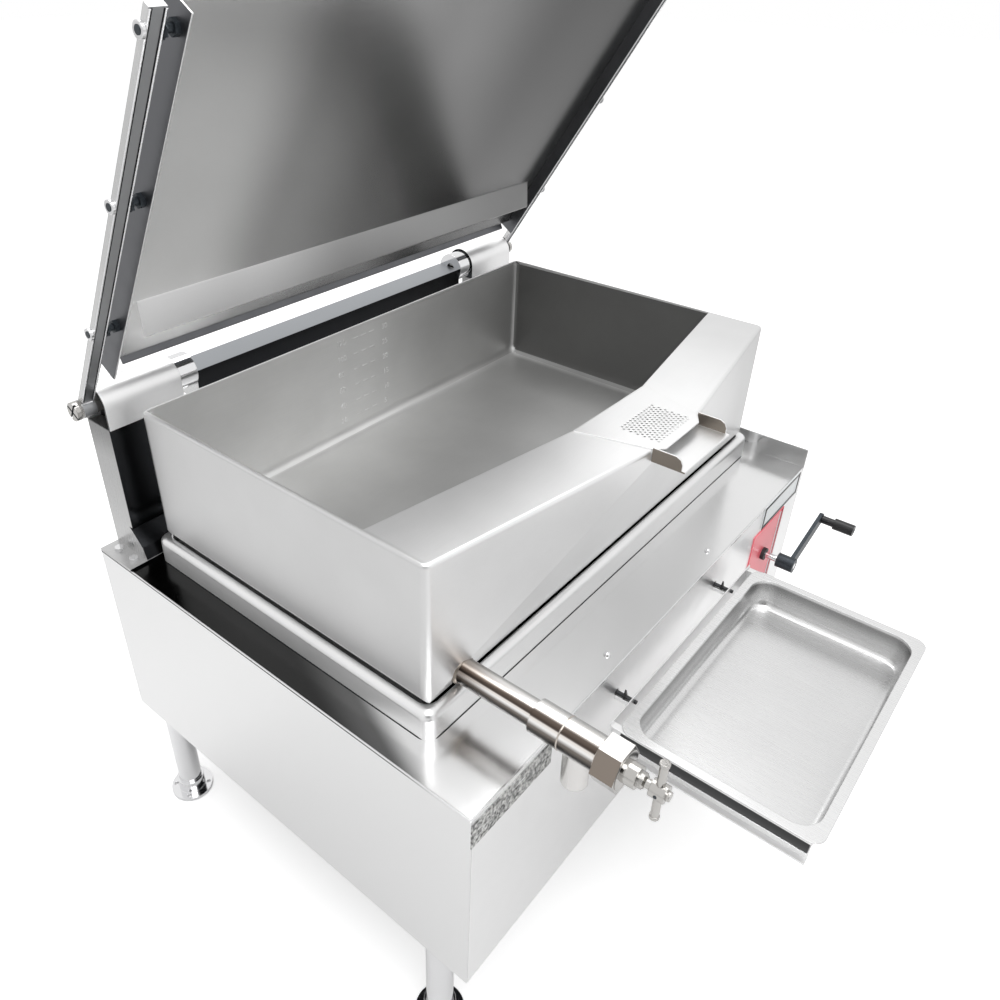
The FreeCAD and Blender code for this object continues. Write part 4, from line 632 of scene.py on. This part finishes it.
second_finish("pan_shell", blasted, inside_pan)
second_finish("pan_shell", blasted_floor,
              lambda centre, normal: inside_pan(centre, normal) and normal.z > 0.8)
second_finish("pan_shell", blasted_shade,
              lambda centre, normal: inside_pan(centre, normal) and normal.x < -0.8)
second_finish("pan_shell", blasted_flare,
              lambda centre, normal: (inside_pan(centre, normal)
                                      and centre.y < PAN_BODY_FRONT - 0.002))

# %% [markdown]
# Polished faces that look into the dark gap under the lid read almost black, and the same sheet is
# white where it looks up. Those faces get painted shade, a deeper tone of the same steel, picked
# by the way they look. It suits the beam, the columns, the ends of the hoods, the skirt of the lid
# and its arms.

# %% Faces in deep shade
SIDEWAYS = 0.9
DOWNWARD, WEB_FRONT, WEB_EDGE = -0.3, -0.7, 0.1


def faces(axis, sign):
    """A test for faces that look along one axis, either way if the sign is 0."""
    def looks_along(centre, normal):
        return (abs(normal[axis]) if sign == 0 else sign * normal[axis]) > SIDEWAYS
    return looks_along


second_finish("cross_beam", deep_steel, faces(1, -1))
second_finish("cross_beam", beam_top_steel, faces(2, 1))
for side in ("left", "right"):
    second_finish("lid_column_" + side, deep_steel, lambda centre, normal: normal.y < DOWNWARD)
    second_finish("hinge_hood_" + side, deep_steel, faces(0, -1))
    second_finish("lid_arm_" + side, web_steel,
                  lambda centre, normal: normal.y < WEB_FRONT and abs(normal.x) < WEB_EDGE)
second_finish("lid_skin", skirt_steel, faces(0, -1))

# %% [markdown]
# A few more faces get their own finish: the nuts of the lid arms are blackened, the slots in the
# caps of the hinge get painted shade, the collar's left web is duller than its rolled top, one
# turned facet of the valve's nut carries a painted brown reflection, and the cheeks of the spout
# get painted shade in the brown-grey of heat tint.

# %% Nuts, slots and cheeks
NUTS_LEFT_X, NUTS_RIGHT_X = -0.557, 0.586
COLLAR_ROLL = 0.022
HINGE_AXIS = Vector((0, 0.420, 0.965))
CAP_RADIUS, CAP_SLOT, CAP_SKIN = 0.0165, 0.0045, 0.0003
NUT_END = -0.5985
second_finish("arm_bolts_left", oxide_black, lambda centre, normal: centre.x > NUTS_LEFT_X)
second_finish("arm_bolts_right", oxide_black, lambda centre, normal: centre.x < NUTS_RIGHT_X)
collar_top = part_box("deck_collar")[1][2]
second_finish("deck_collar", collar_web, lambda centre, normal: (
    normal.x < -0.95 and centre.z < collar_top - COLLAR_ROLL))
for side, end in (("left", 0), ("right", 1)):
    cap_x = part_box("hinge_shaft_" + side)[end][0]
    # Painted shade in the slots of the caps.
    second_finish("hinge_shaft_" + side, oxide_black, lambda centre, normal: (
        CAP_SKIN < abs(centre.x - cap_x) < CAP_SLOT
        and (centre - HINGE_AXIS).yz.length < CAP_RADIUS))
# Painted brown reflection on the nut's facets that look up and to the left.
second_finish("valve_nut", nut_facet_reflection, lambda centre, normal: (
    centre.y > NUT_END and normal.x < -0.5 and normal.z > 0.3))
# Painted shade on the cheeks of the spout.
second_finish("spout", heat_tint_and_shade, faces(0, 0))

# %% [markdown]
# ## Small things that a plain solid leaves out
# Every added piece is a bmesh that rides on the body that carries it. The first helper makes the
# object from it, smooth where it is round and sharp where it is folded. A bead is a thin rod bent
# along a path, as a rolled edge is, and a bar is a straight length with its edges broken.

# %% Helpers for added pieces
SHARP_FROM = math.radians(35)


def own_piece(name, shape, finish, body):
    """Turns a bmesh into a smooth-shaded piece that rides on a body."""
    bmesh.ops.recalc_face_normals(shape, faces=shape.faces)
    mesh = bpy.data.meshes.new(name)
    shape.to_mesh(mesh)
    shape.free()
    mesh.materials.append(finish)
    mesh.shade_smooth()
    mesh.set_sharp_from_angle(angle=SHARP_FROM)
    piece = bpy.data.objects.new(name, mesh)
    bpy.context.scene.collection.objects.link(piece)
    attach(piece, body)
    print(name, ":", len(mesh.polygons), "faces")


def mm(*values):
    """A place in millimetres as a vector in metres."""
    return Vector(values) / 1000


def box_mm(node):
    """The lowest and highest corner of one of the model's pieces, in mm."""
    low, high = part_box(node)
    return [value * 1000 for value in low], [value * 1000 for value in high]


def bar(shape, low, high, edge=0.4):
    """A straight bar between two corners in mm, with its edges broken."""
    corners = [mm(x, y, z) for x in (low[0], high[0]) for y in (low[1], high[1])
               for z in (low[2], high[2])]
    verts = [shape.verts.new(corner) for corner in corners]
    sides = [shape.faces.new([verts[k] for k in side]) for side in
             ((0, 1, 3, 2), (4, 6, 7, 5), (0, 4, 5, 1), (2, 3, 7, 6), (0, 2, 6, 4), (1, 5, 7, 3))]
    edges = list({border for face in sides for border in face.edges})
    bmesh.ops.bevel(shape, geom=edges, offset=edge / 1000, segments=2, affect="EDGES", profile=0.5)


def bead(shape, path, radius, closed=False, sides=10):
    """A thin rod along a path in mm."""
    places = [mm(*point) for point in path]
    count = len(places)
    rings = []
    for k, here in enumerate(places):
        before = places[(k - 1) % count] if closed or k else here
        after = places[(k + 1) % count] if closed or k < count - 1 else here
        way = (after - before).normalized()
        side = way.cross(Vector((0, 0, 1)) if abs(way.z) < 0.9 else Vector((1, 0, 0))).normalized()
        up = side.cross(way)
        r = radius / 1000
        rings.append([shape.verts.new(here + side * r * math.cos(2 * math.pi * n / sides)
                                      + up * r * math.sin(2 * math.pi * n / sides))
                      for n in range(sides)])
    pairs = list(zip(rings, rings[1:])) + ([(rings[-1], rings[0])] if closed else [])
    for first, second in pairs:
        for n in range(sides):
            after = (n + 1) % sides
            shape.faces.new((first[n], first[after], second[after], second[n]))
    if not closed:
        shape.faces.new(rings[0])
        shape.faces.new(rings[-1])


print("the model's pan is", [round(v) for v in box_mm("pan_shell")[0]], "to",
      [round(v) for v in box_mm("pan_shell")[1]])

# %% [markdown]
# ### Housing
# The housing is folded sheet. Its upper edges are hemmed, so a thin round line catches the light,
# and a thin near-black rod paints the shade in the crease round the foot of the collar, where it
# meets the deck. A sheet closes the housing from below, and its near-black tone is painted shade
# that keeps the gap between the pan and the collar dark.

# %% Hems, crease and underside
HEM_RADIUS = 1.6
HEM_SHORT = 2
ARC_STEPS = 8
COLLAR_CORNER = 24
CREASE_RADIUS, CREASE_RISE = 1.1, 0.3
SHEET_MM, SHEET_INSET_X, SHEET_INSET_Y = 2, 6, 4


def rounded_path(low, high, corner, z):
    """A closed path round a rectangle with rounded corners."""
    path = []
    for centre_x, centre_y, start in ((high[0] - corner, high[1] - corner, 0),
                                      (low[0] + corner, high[1] - corner, 90),
                                      (low[0] + corner, low[1] + corner, 180),
                                      (high[0] - corner, low[1] + corner, 270)):
        for step in range(ARC_STEPS + 1):
            angle = math.radians(start + 90 * step / ARC_STEPS)
            path.append((centre_x + corner * math.cos(angle),
                         centre_y + corner * math.sin(angle), z))
    return path


deck_low, deck_high = box_mm("deck_plate")
curb_high = box_mm("side_panel_right")[1]
left_x, front_y, deck_z = deck_low[0] + HEM_RADIUS, deck_low[1] + HEM_RADIUS, deck_high[2]
curb_x = curb_high[0] - HEM_RADIUS
hems = bmesh.new()
for start, end in (
        ((left_x, deck_high[1] - HEM_SHORT, deck_z), (left_x, front_y, deck_z)),
        ((left_x, front_y, deck_z), (deck_high[0], front_y, deck_z)),
        ((curb_x, curb_high[1] - HEM_SHORT, curb_high[2]), (curb_x, front_y, curb_high[2]))):
    bead(hems, [start, end], HEM_RADIUS)
own_piece("housing_hems", hems, tube_steel, "housing")

collar_low, collar_high = box_mm("deck_collar")
# Painted shade: a near-black rod in the crease at the foot of the collar.
crease_shade = bmesh.new()
bead(crease_shade, rounded_path(collar_low, collar_high, COLLAR_CORNER, deck_z + CREASE_RISE),
     CREASE_RADIUS, closed=True)
own_piece("collar_crease_shade", crease_shade, deep_steel, "housing")

base_low, base_high = box_mm("base_frame")
# Painted shade: the sheet under the housing is near black.
underside = bmesh.new()
bar(underside,
    (base_low[0] + SHEET_INSET_X, base_low[1] + SHEET_INSET_Y, base_low[2] + SHEET_MM),
    (base_high[0] - SHEET_INSET_X, base_high[1] - SHEET_INSET_Y, base_low[2] + 2 * SHEET_MM), 0.5)
own_piece("underside_sheet", underside, deep_steel, "housing")

# %% [markdown]
# ### Draw-off
# The draw-off tube is welded into the pan's front, and the heat has left a dark, scaled ring round
# it. Such things are turned on a lathe, so a helper spins a profile round an axis. A wave in the
# radius gives the scales of the weld, and later the teeth of the washers.

# %% Weld ring and valve rings
TURN_STEPS = 40
WELD_SCALES, WELD_BACK = 22, 14
RINGS_BEHIND_NUT = ((3, 0.6), (60, 0.5))
AXES = {"x": Vector((1, 0, 0)), "z": Vector((0, 0, 1)), "-x": Vector((-1, 0, 0)),
        "-y": Vector((0, -1, 0))}


def turned(shape, place, axis, profile, steps=TURN_STEPS, wave=0.0, waves=0):
    """Spins (radius, height) pairs in mm round an axis. A wave in the radius gives teeth."""
    turn = Vector((0, 0, 1)).rotation_difference(AXES[axis]).to_matrix()
    rings = []
    for radius, height in profile:
        ring = []
        for step in range(steps):
            angle = 2 * math.pi * step / steps
            r = radius * (1 + wave * math.cos(waves * angle))
            ring.append(shape.verts.new(
                place + turn @ mm(r * math.cos(angle), r * math.sin(angle), height)))
        rings.append(ring)
    for low, high in zip(rings, rings[1:]):
        for k in range(steps):
            shape.faces.new((low[k], low[(k + 1) % steps], high[(k + 1) % steps], high[k]))
    for ring in (rings[0], rings[-1]):
        shape.faces.new(ring)


tube_low, tube_high = box_mm("drain_tube")
drain_x, drain_z = (tube_low[0] + tube_high[0]) / 2, (tube_low[2] + tube_high[2]) / 2
tube_radius = (tube_high[0] - tube_low[0]) / 2
ring = bmesh.new()
turned(ring, mm(drain_x, PAN_BODY_FRONT * 1000 - WELD_BACK, drain_z), "-y",
       [(tube_radius + 0.3, -12), (tube_radius + 3.4, -10), (tube_radius + 3.6, -7),
        (tube_radius + 1.6, -3), (tube_radius + 0.3, -1.5)], wave=0.012, waves=WELD_SCALES)
own_piece("drain_weld", ring, heat_tint_and_shade, "pan")

nut_low, nut_high = box_mm("valve_nut")
sleeve = bmesh.new()
for behind_nut, grow in RINGS_BEHIND_NUT:
    turned(sleeve, mm(drain_x, nut_high[1] + behind_nut, drain_z), "-y",
           [(VALVE_MM - 0.1, 0), (VALVE_MM + grow, 0.8), (VALVE_MM + grow, 2.2),
            (VALVE_MM - 0.1, 3)])
own_piece("valve_rings", sleeve, warm_steel, "pan")

# %% [markdown]
# In front of the hexagon nut sits a gland with a thread behind the handle, and the nut has a
# turned face. The handle's arms end in small caps, and a blackened pin and screw hold it.

# %% Gland, nut face and handle
THREAD_TURNS, THREAD_PITCH = 7, 1.2
FACE_DEEP = 20
CAP_HALF, PIN_OUT = 3, 12.6
gland = bmesh.new()
profile = [(9, -3)]
for k in range(THREAD_TURNS):
    profile += [(12.2, THREAD_PITCH * k), (11.0, THREAD_PITCH * k + 0.6)]
turned(gland, mm(drain_x, nut_low[1], drain_z), "-y", profile + [(9.5, 9.5), (7.6, 10.5)])
own_piece("gland_thread", gland, fitting_steel, "pan")

face = bmesh.new()
turned(face, mm(drain_x, nut_low[1] + FACE_DEEP, drain_z), "-y",
       [(17.2, 0), (29.5, 0.2), (29.5, 0.9), (17.2, 2.2)])
own_piece("nut_face", face, fitting_steel, "pan")

wing_low, wing_high = box_mm("valve_handle")
wing_y = (wing_low[1] + wing_high[1]) / 2
caps = bmesh.new()
for cap_z in (wing_low[2] + CAP_HALF, wing_high[2] - CAP_HALF):
    turned(caps, mm(drain_x, wing_y, cap_z), "z",
           [(6.3, -CAP_HALF), (7.2, -2), (7.2, 2), (6.3, CAP_HALF)])
own_piece("handle_ends", caps, fitting_steel, "valve_handle")

pins = bmesh.new()
turned(pins, mm(drain_x - PIN_OUT, wing_y, drain_z), "-x", [(2.6, -1), (2.6, 0.8), (1.4, 1.0)])
turned(pins, mm(drain_x, wing_low[1] + 1, drain_z), "-y", [(3.6, -1), (3.6, 1.4), (2.2, 1.8)])
own_piece("handle_pins", pins, oxide_black, "valve_handle")

# %% [markdown]
# ### Carrier of the catering pan
# The runners are channels; a black strip paints the shadow inside each one, with a bright rib
# below it. They are straight extrusions, so bars do for both. Their pegs go through small black
# diamond brackets, cut from plate: an outline with a thickness.

# %% Runner strips, ribs and peg brackets
RUNNER_LIP = 6
STRIP_SIDES, STRIP_DROPS, RIB_DROPS = (1.5, 10.7), (24, 3.2), (27.5, 25)
SCREW_RADIUS, PEG_DROP = 6, 6.7
BRACKET_WIDE, BRACKET_HIGH, BRACKET_THICK, BRACKET_Y = 6.5, 15, 2.5, -474


def plate(shape, corners, thickness):
    """An outline of places, given a thickness (a vector)."""
    front = [shape.verts.new(corner) for corner in corners]
    back = [shape.verts.new(corner + thickness) for corner in corners]
    shape.faces.new(front)
    shape.faces.new(back)
    for k in range(len(front)):
        after = (k + 1) % len(front)
        shape.faces.new((front[k], front[after], back[after], back[k]))


carrier_low, carrier_high = box_mm("pan_carrier")
tray_high = box_mm("catering_pan")[1]
runner_top = carrier_high[2] - RUNNER_LIP
runner_end, runner_start = carrier_low[1] + 1, tray_high[1] - RUNNER_LIP
strips, ribs = bmesh.new(), bmesh.new()
for edge_x, way in ((carrier_low[0], 1), (carrier_high[0], -1)):
    low_x, high_x = sorted(edge_x + way * side for side in STRIP_SIDES)
    for shape, drops, edge in ((strips, STRIP_DROPS, 1.2), (ribs, RIB_DROPS, 0.5)):
        bar(shape, (low_x, runner_end, runner_top - drops[0]),
            (high_x, runner_start, runner_top - drops[1]), edge)
# Painted shadow: black strips inside the channels of the runners.
own_piece("runner_shadow_strips", strips, moulded_black, "housing")
own_piece("runner_ribs", ribs, tube_steel, "housing")

screw_low, screw_high = box_mm("deck_screws")
peg_z = runner_top - PEG_DROP
diamonds = bmesh.new()
for peg_x in (screw_low[0] + SCREW_RADIUS, screw_high[0] - SCREW_RADIUS):
    corners = [mm(peg_x + BRACKET_WIDE * math.cos(math.pi / 2 * k), BRACKET_Y,
                  peg_z + BRACKET_HIGH * math.sin(math.pi / 2 * k)) for k in range(4)]
    plate(diamonds, corners, mm(0, BRACKET_THICK, 0))
own_piece("peg_brackets", diamonds, moulded_black, "housing")

# %% [markdown]
# ### Control panel
# The white plate by the crank sits in a black frame of four bars. The red panel has a strip of
# painted shade, a darker red, at its outer edge and two thin white lines beside it.

# %% Plate frame, lines and edge strip
BORDER, FRAME_PROUD, FRAME_SUNK = 6, 0.9, 0.4
PANEL_FACE = (-459.9, -458.8)
LINE_PLACES, LINE_WIDE, LINE_INSET = (22, 17), 1.5, 4
STRIP_PLACE, STRIP_WIDE, STRIP_INSET = 13, 11, 2
plate_low, plate_high = box_mm("blank_plate")
frame_bars = bmesh.new()
for low_x, high_x, low_z, high_z in (
        (plate_low[0], plate_high[0], plate_high[2] - BORDER, plate_high[2]),
        (plate_low[0], plate_high[0], plate_low[2], plate_low[2] + BORDER),
        (plate_low[0], plate_low[0] + BORDER, plate_low[2], plate_high[2]),
        (plate_high[0] - BORDER, plate_high[0], plate_low[2], plate_high[2])):
    bar(frame_bars, (low_x, plate_low[1] - FRAME_PROUD, low_z),
        (high_x, plate_low[1] + FRAME_SUNK, high_z), 0.3)
own_piece("plate_frame", frame_bars, moulded_black, "housing")

panel_low, panel_high = box_mm("control_panel")


def panel_bar(shape, from_edge, wide, inset):
    """An upright bar on the red panel, from_edge mm from its outer edge."""
    low_x = panel_high[0] - from_edge
    bar(shape, (low_x, PANEL_FACE[0], panel_low[2] + inset),
        (low_x + wide, PANEL_FACE[1], panel_high[2] - inset), 0.2)


lines, edge_strip = bmesh.new(), bmesh.new()
for from_edge in LINE_PLACES:
    panel_bar(lines, from_edge, LINE_WIDE, LINE_INSET)
panel_bar(edge_strip, STRIP_PLACE, STRIP_WIDE, STRIP_INSET)
own_piece("panel_lines", lines, white_vinyl, "housing")
# Painted shade: the darker red strip at the panel's outer edge.
own_piece("panel_edge_strip", edge_strip, shaded_red_enamel, "housing")

# %% [markdown]
# ### Lid arms
# Each arm is a folded channel, so its long edges stand up as bright rails, and a thin near-black
# rod beside each rail paints its shadow. Toothed washers lock its nuts, and a thin dark ring of
# painted shadow sits under each bolt head. They are placed by their reach along the lid and
# turned to the open lid in one function, which is easier to check than finished places.

# %% Rails, painted rail shadows, washers and rings
HINGE_Y, HINGE_Z = 420, 965
LID_OPEN = math.radians(57)
ARM_START, ARM_REACH = 20, 742
BOLT_REACHES = (198, 458, 714)
RAIL_RADIUS, RAIL_RISE = 1.6, -1.9
RAIL_SHADOW_RADIUS, RAIL_SHADOW_RISE, RAIL_SHADOW_OUTER, RAIL_SHADOW_INNER = 0.8, -1.5, 4.4, 4.0
BOLT_RISE = 3.5
WASHER_TEETH, WASHER_IN, HEAD_SHADOW_OUT = 8, 1.2, 5.0


def on_lid(x, reach, rise):
    """A place on the open lid: its reach from the hinge and its rise from the closed plane."""
    return (x, HINGE_Y - reach * math.cos(LID_OPEN) + rise * math.sin(LID_OPEN),
            HINGE_Z + reach * math.sin(LID_OPEN) + rise * math.cos(LID_OPEN))


rails, rail_shadows, washers, rings = bmesh.new(), bmesh.new(), bmesh.new(), bmesh.new()
for side, way in (("left", -1), ("right", 1)):
    arm_low, arm_high = box_mm("lid_arm_" + side)
    outer = arm_low[0] if way < 0 else arm_high[0]
    inner = arm_high[0] if way < 0 else arm_low[0]
    for edge_x in (outer - way * RAIL_RADIUS, inner + way * RAIL_RADIUS):
        bead(rails, [on_lid(edge_x, reach, RAIL_RISE) for reach in (ARM_START, ARM_REACH)],
             RAIL_RADIUS)
    # Painted shadows of the rails: thin near-black rods beside them.
    for rail_shadow_x in (outer - way * RAIL_SHADOW_OUTER, inner + way * RAIL_SHADOW_INNER):
        bead(rail_shadows, [on_lid(rail_shadow_x, reach, RAIL_SHADOW_RISE) for reach in (ARM_START, ARM_REACH)],
             RAIL_SHADOW_RADIUS)
    for reach in BOLT_REACHES:
        turned(washers, mm(*on_lid(inner - way * WASHER_IN, reach, BOLT_RISE)), "x",
               [(6.2, -1.2), (11, -1.0), (11, 1.0), (6.2, 1.2)],
               steps=48, wave=0.12, waves=WASHER_TEETH)
        # Painted shadow: a thin dark ring under each bolt head.
        turned(rings, mm(*on_lid(outer + way * HEAD_SHADOW_OUT, reach, BOLT_RISE)), "x",
               [(4.4, -0.7), (5.6, -0.7), (5.6, 0.7), (4.4, 0.7)])
own_piece("arm_rails", rails, tube_steel, "lid")
own_piece("arm_rail_shadows", rail_shadows, deep_steel, "lid")
own_piece("arm_washers", washers, oxide_black, "lid")
own_piece("bolt_head_shadows", rings, oxide_black, "lid")

# %% [markdown]
# ### Level marks
# Marks pressed into the rear wall show how full the pan is: three short lines for each level, with
# litres on the left and gallons on the right. Numbers are text objects in Blender's own font,
# raised 0.3 mm, which needs no drawing and keeps their curves smooth.

# %% Level marks
MARK_LEVELS = (762, 797, 834, 870, 905, 940)
MARK_TICKS = (-28, -4, 20)
TICK_LONG, TICK_HIGH = 15, 1.8
LITRES_X, LITRES_STEP = -74, 20
GALLONS_X, GALLONS_STEP = 58, 5
DIGIT_MM, DIGIT_DROP, DIGIT_PROUD = 17, 5, 0.3
WALL_MM = 8


def level_number(unit, count, x, z):
    """A raised number on the rear wall that faces the front."""
    words = bpy.data.curves.new("level_" + str(count), "FONT")
    words.body = str(count)
    words.size = DIGIT_MM / 1000
    words.extrude = DIGIT_PROUD / 1000
    sign = bpy.data.objects.new("level_" + unit + "_" + str(count), words)
    sign.location = mm(x, wall_y - 0.2, z - DIGIT_DROP)
    sign.rotation_euler = (math.pi / 2, 0, 0)
    bpy.context.scene.collection.objects.link(sign)
    sign.data.materials.append(mark_steel)
    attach(sign, "pan")


marks = bmesh.new()
wall_y = pan_high[1] * 1000 - WALL_MM
for k, z in enumerate(MARK_LEVELS, start=1):
    for tick in MARK_TICKS:
        bar(marks, (tick, wall_y - 0.5, z), (tick + TICK_LONG, wall_y + 0.5, z + TICK_HIGH), 0.2)
    level_number("litre", LITRES_STEP * k, LITRES_X, z)
    level_number("gallon", GALLONS_STEP * k, GALLONS_X, z)
own_piece("level_lines", marks, mark_steel, "pan")
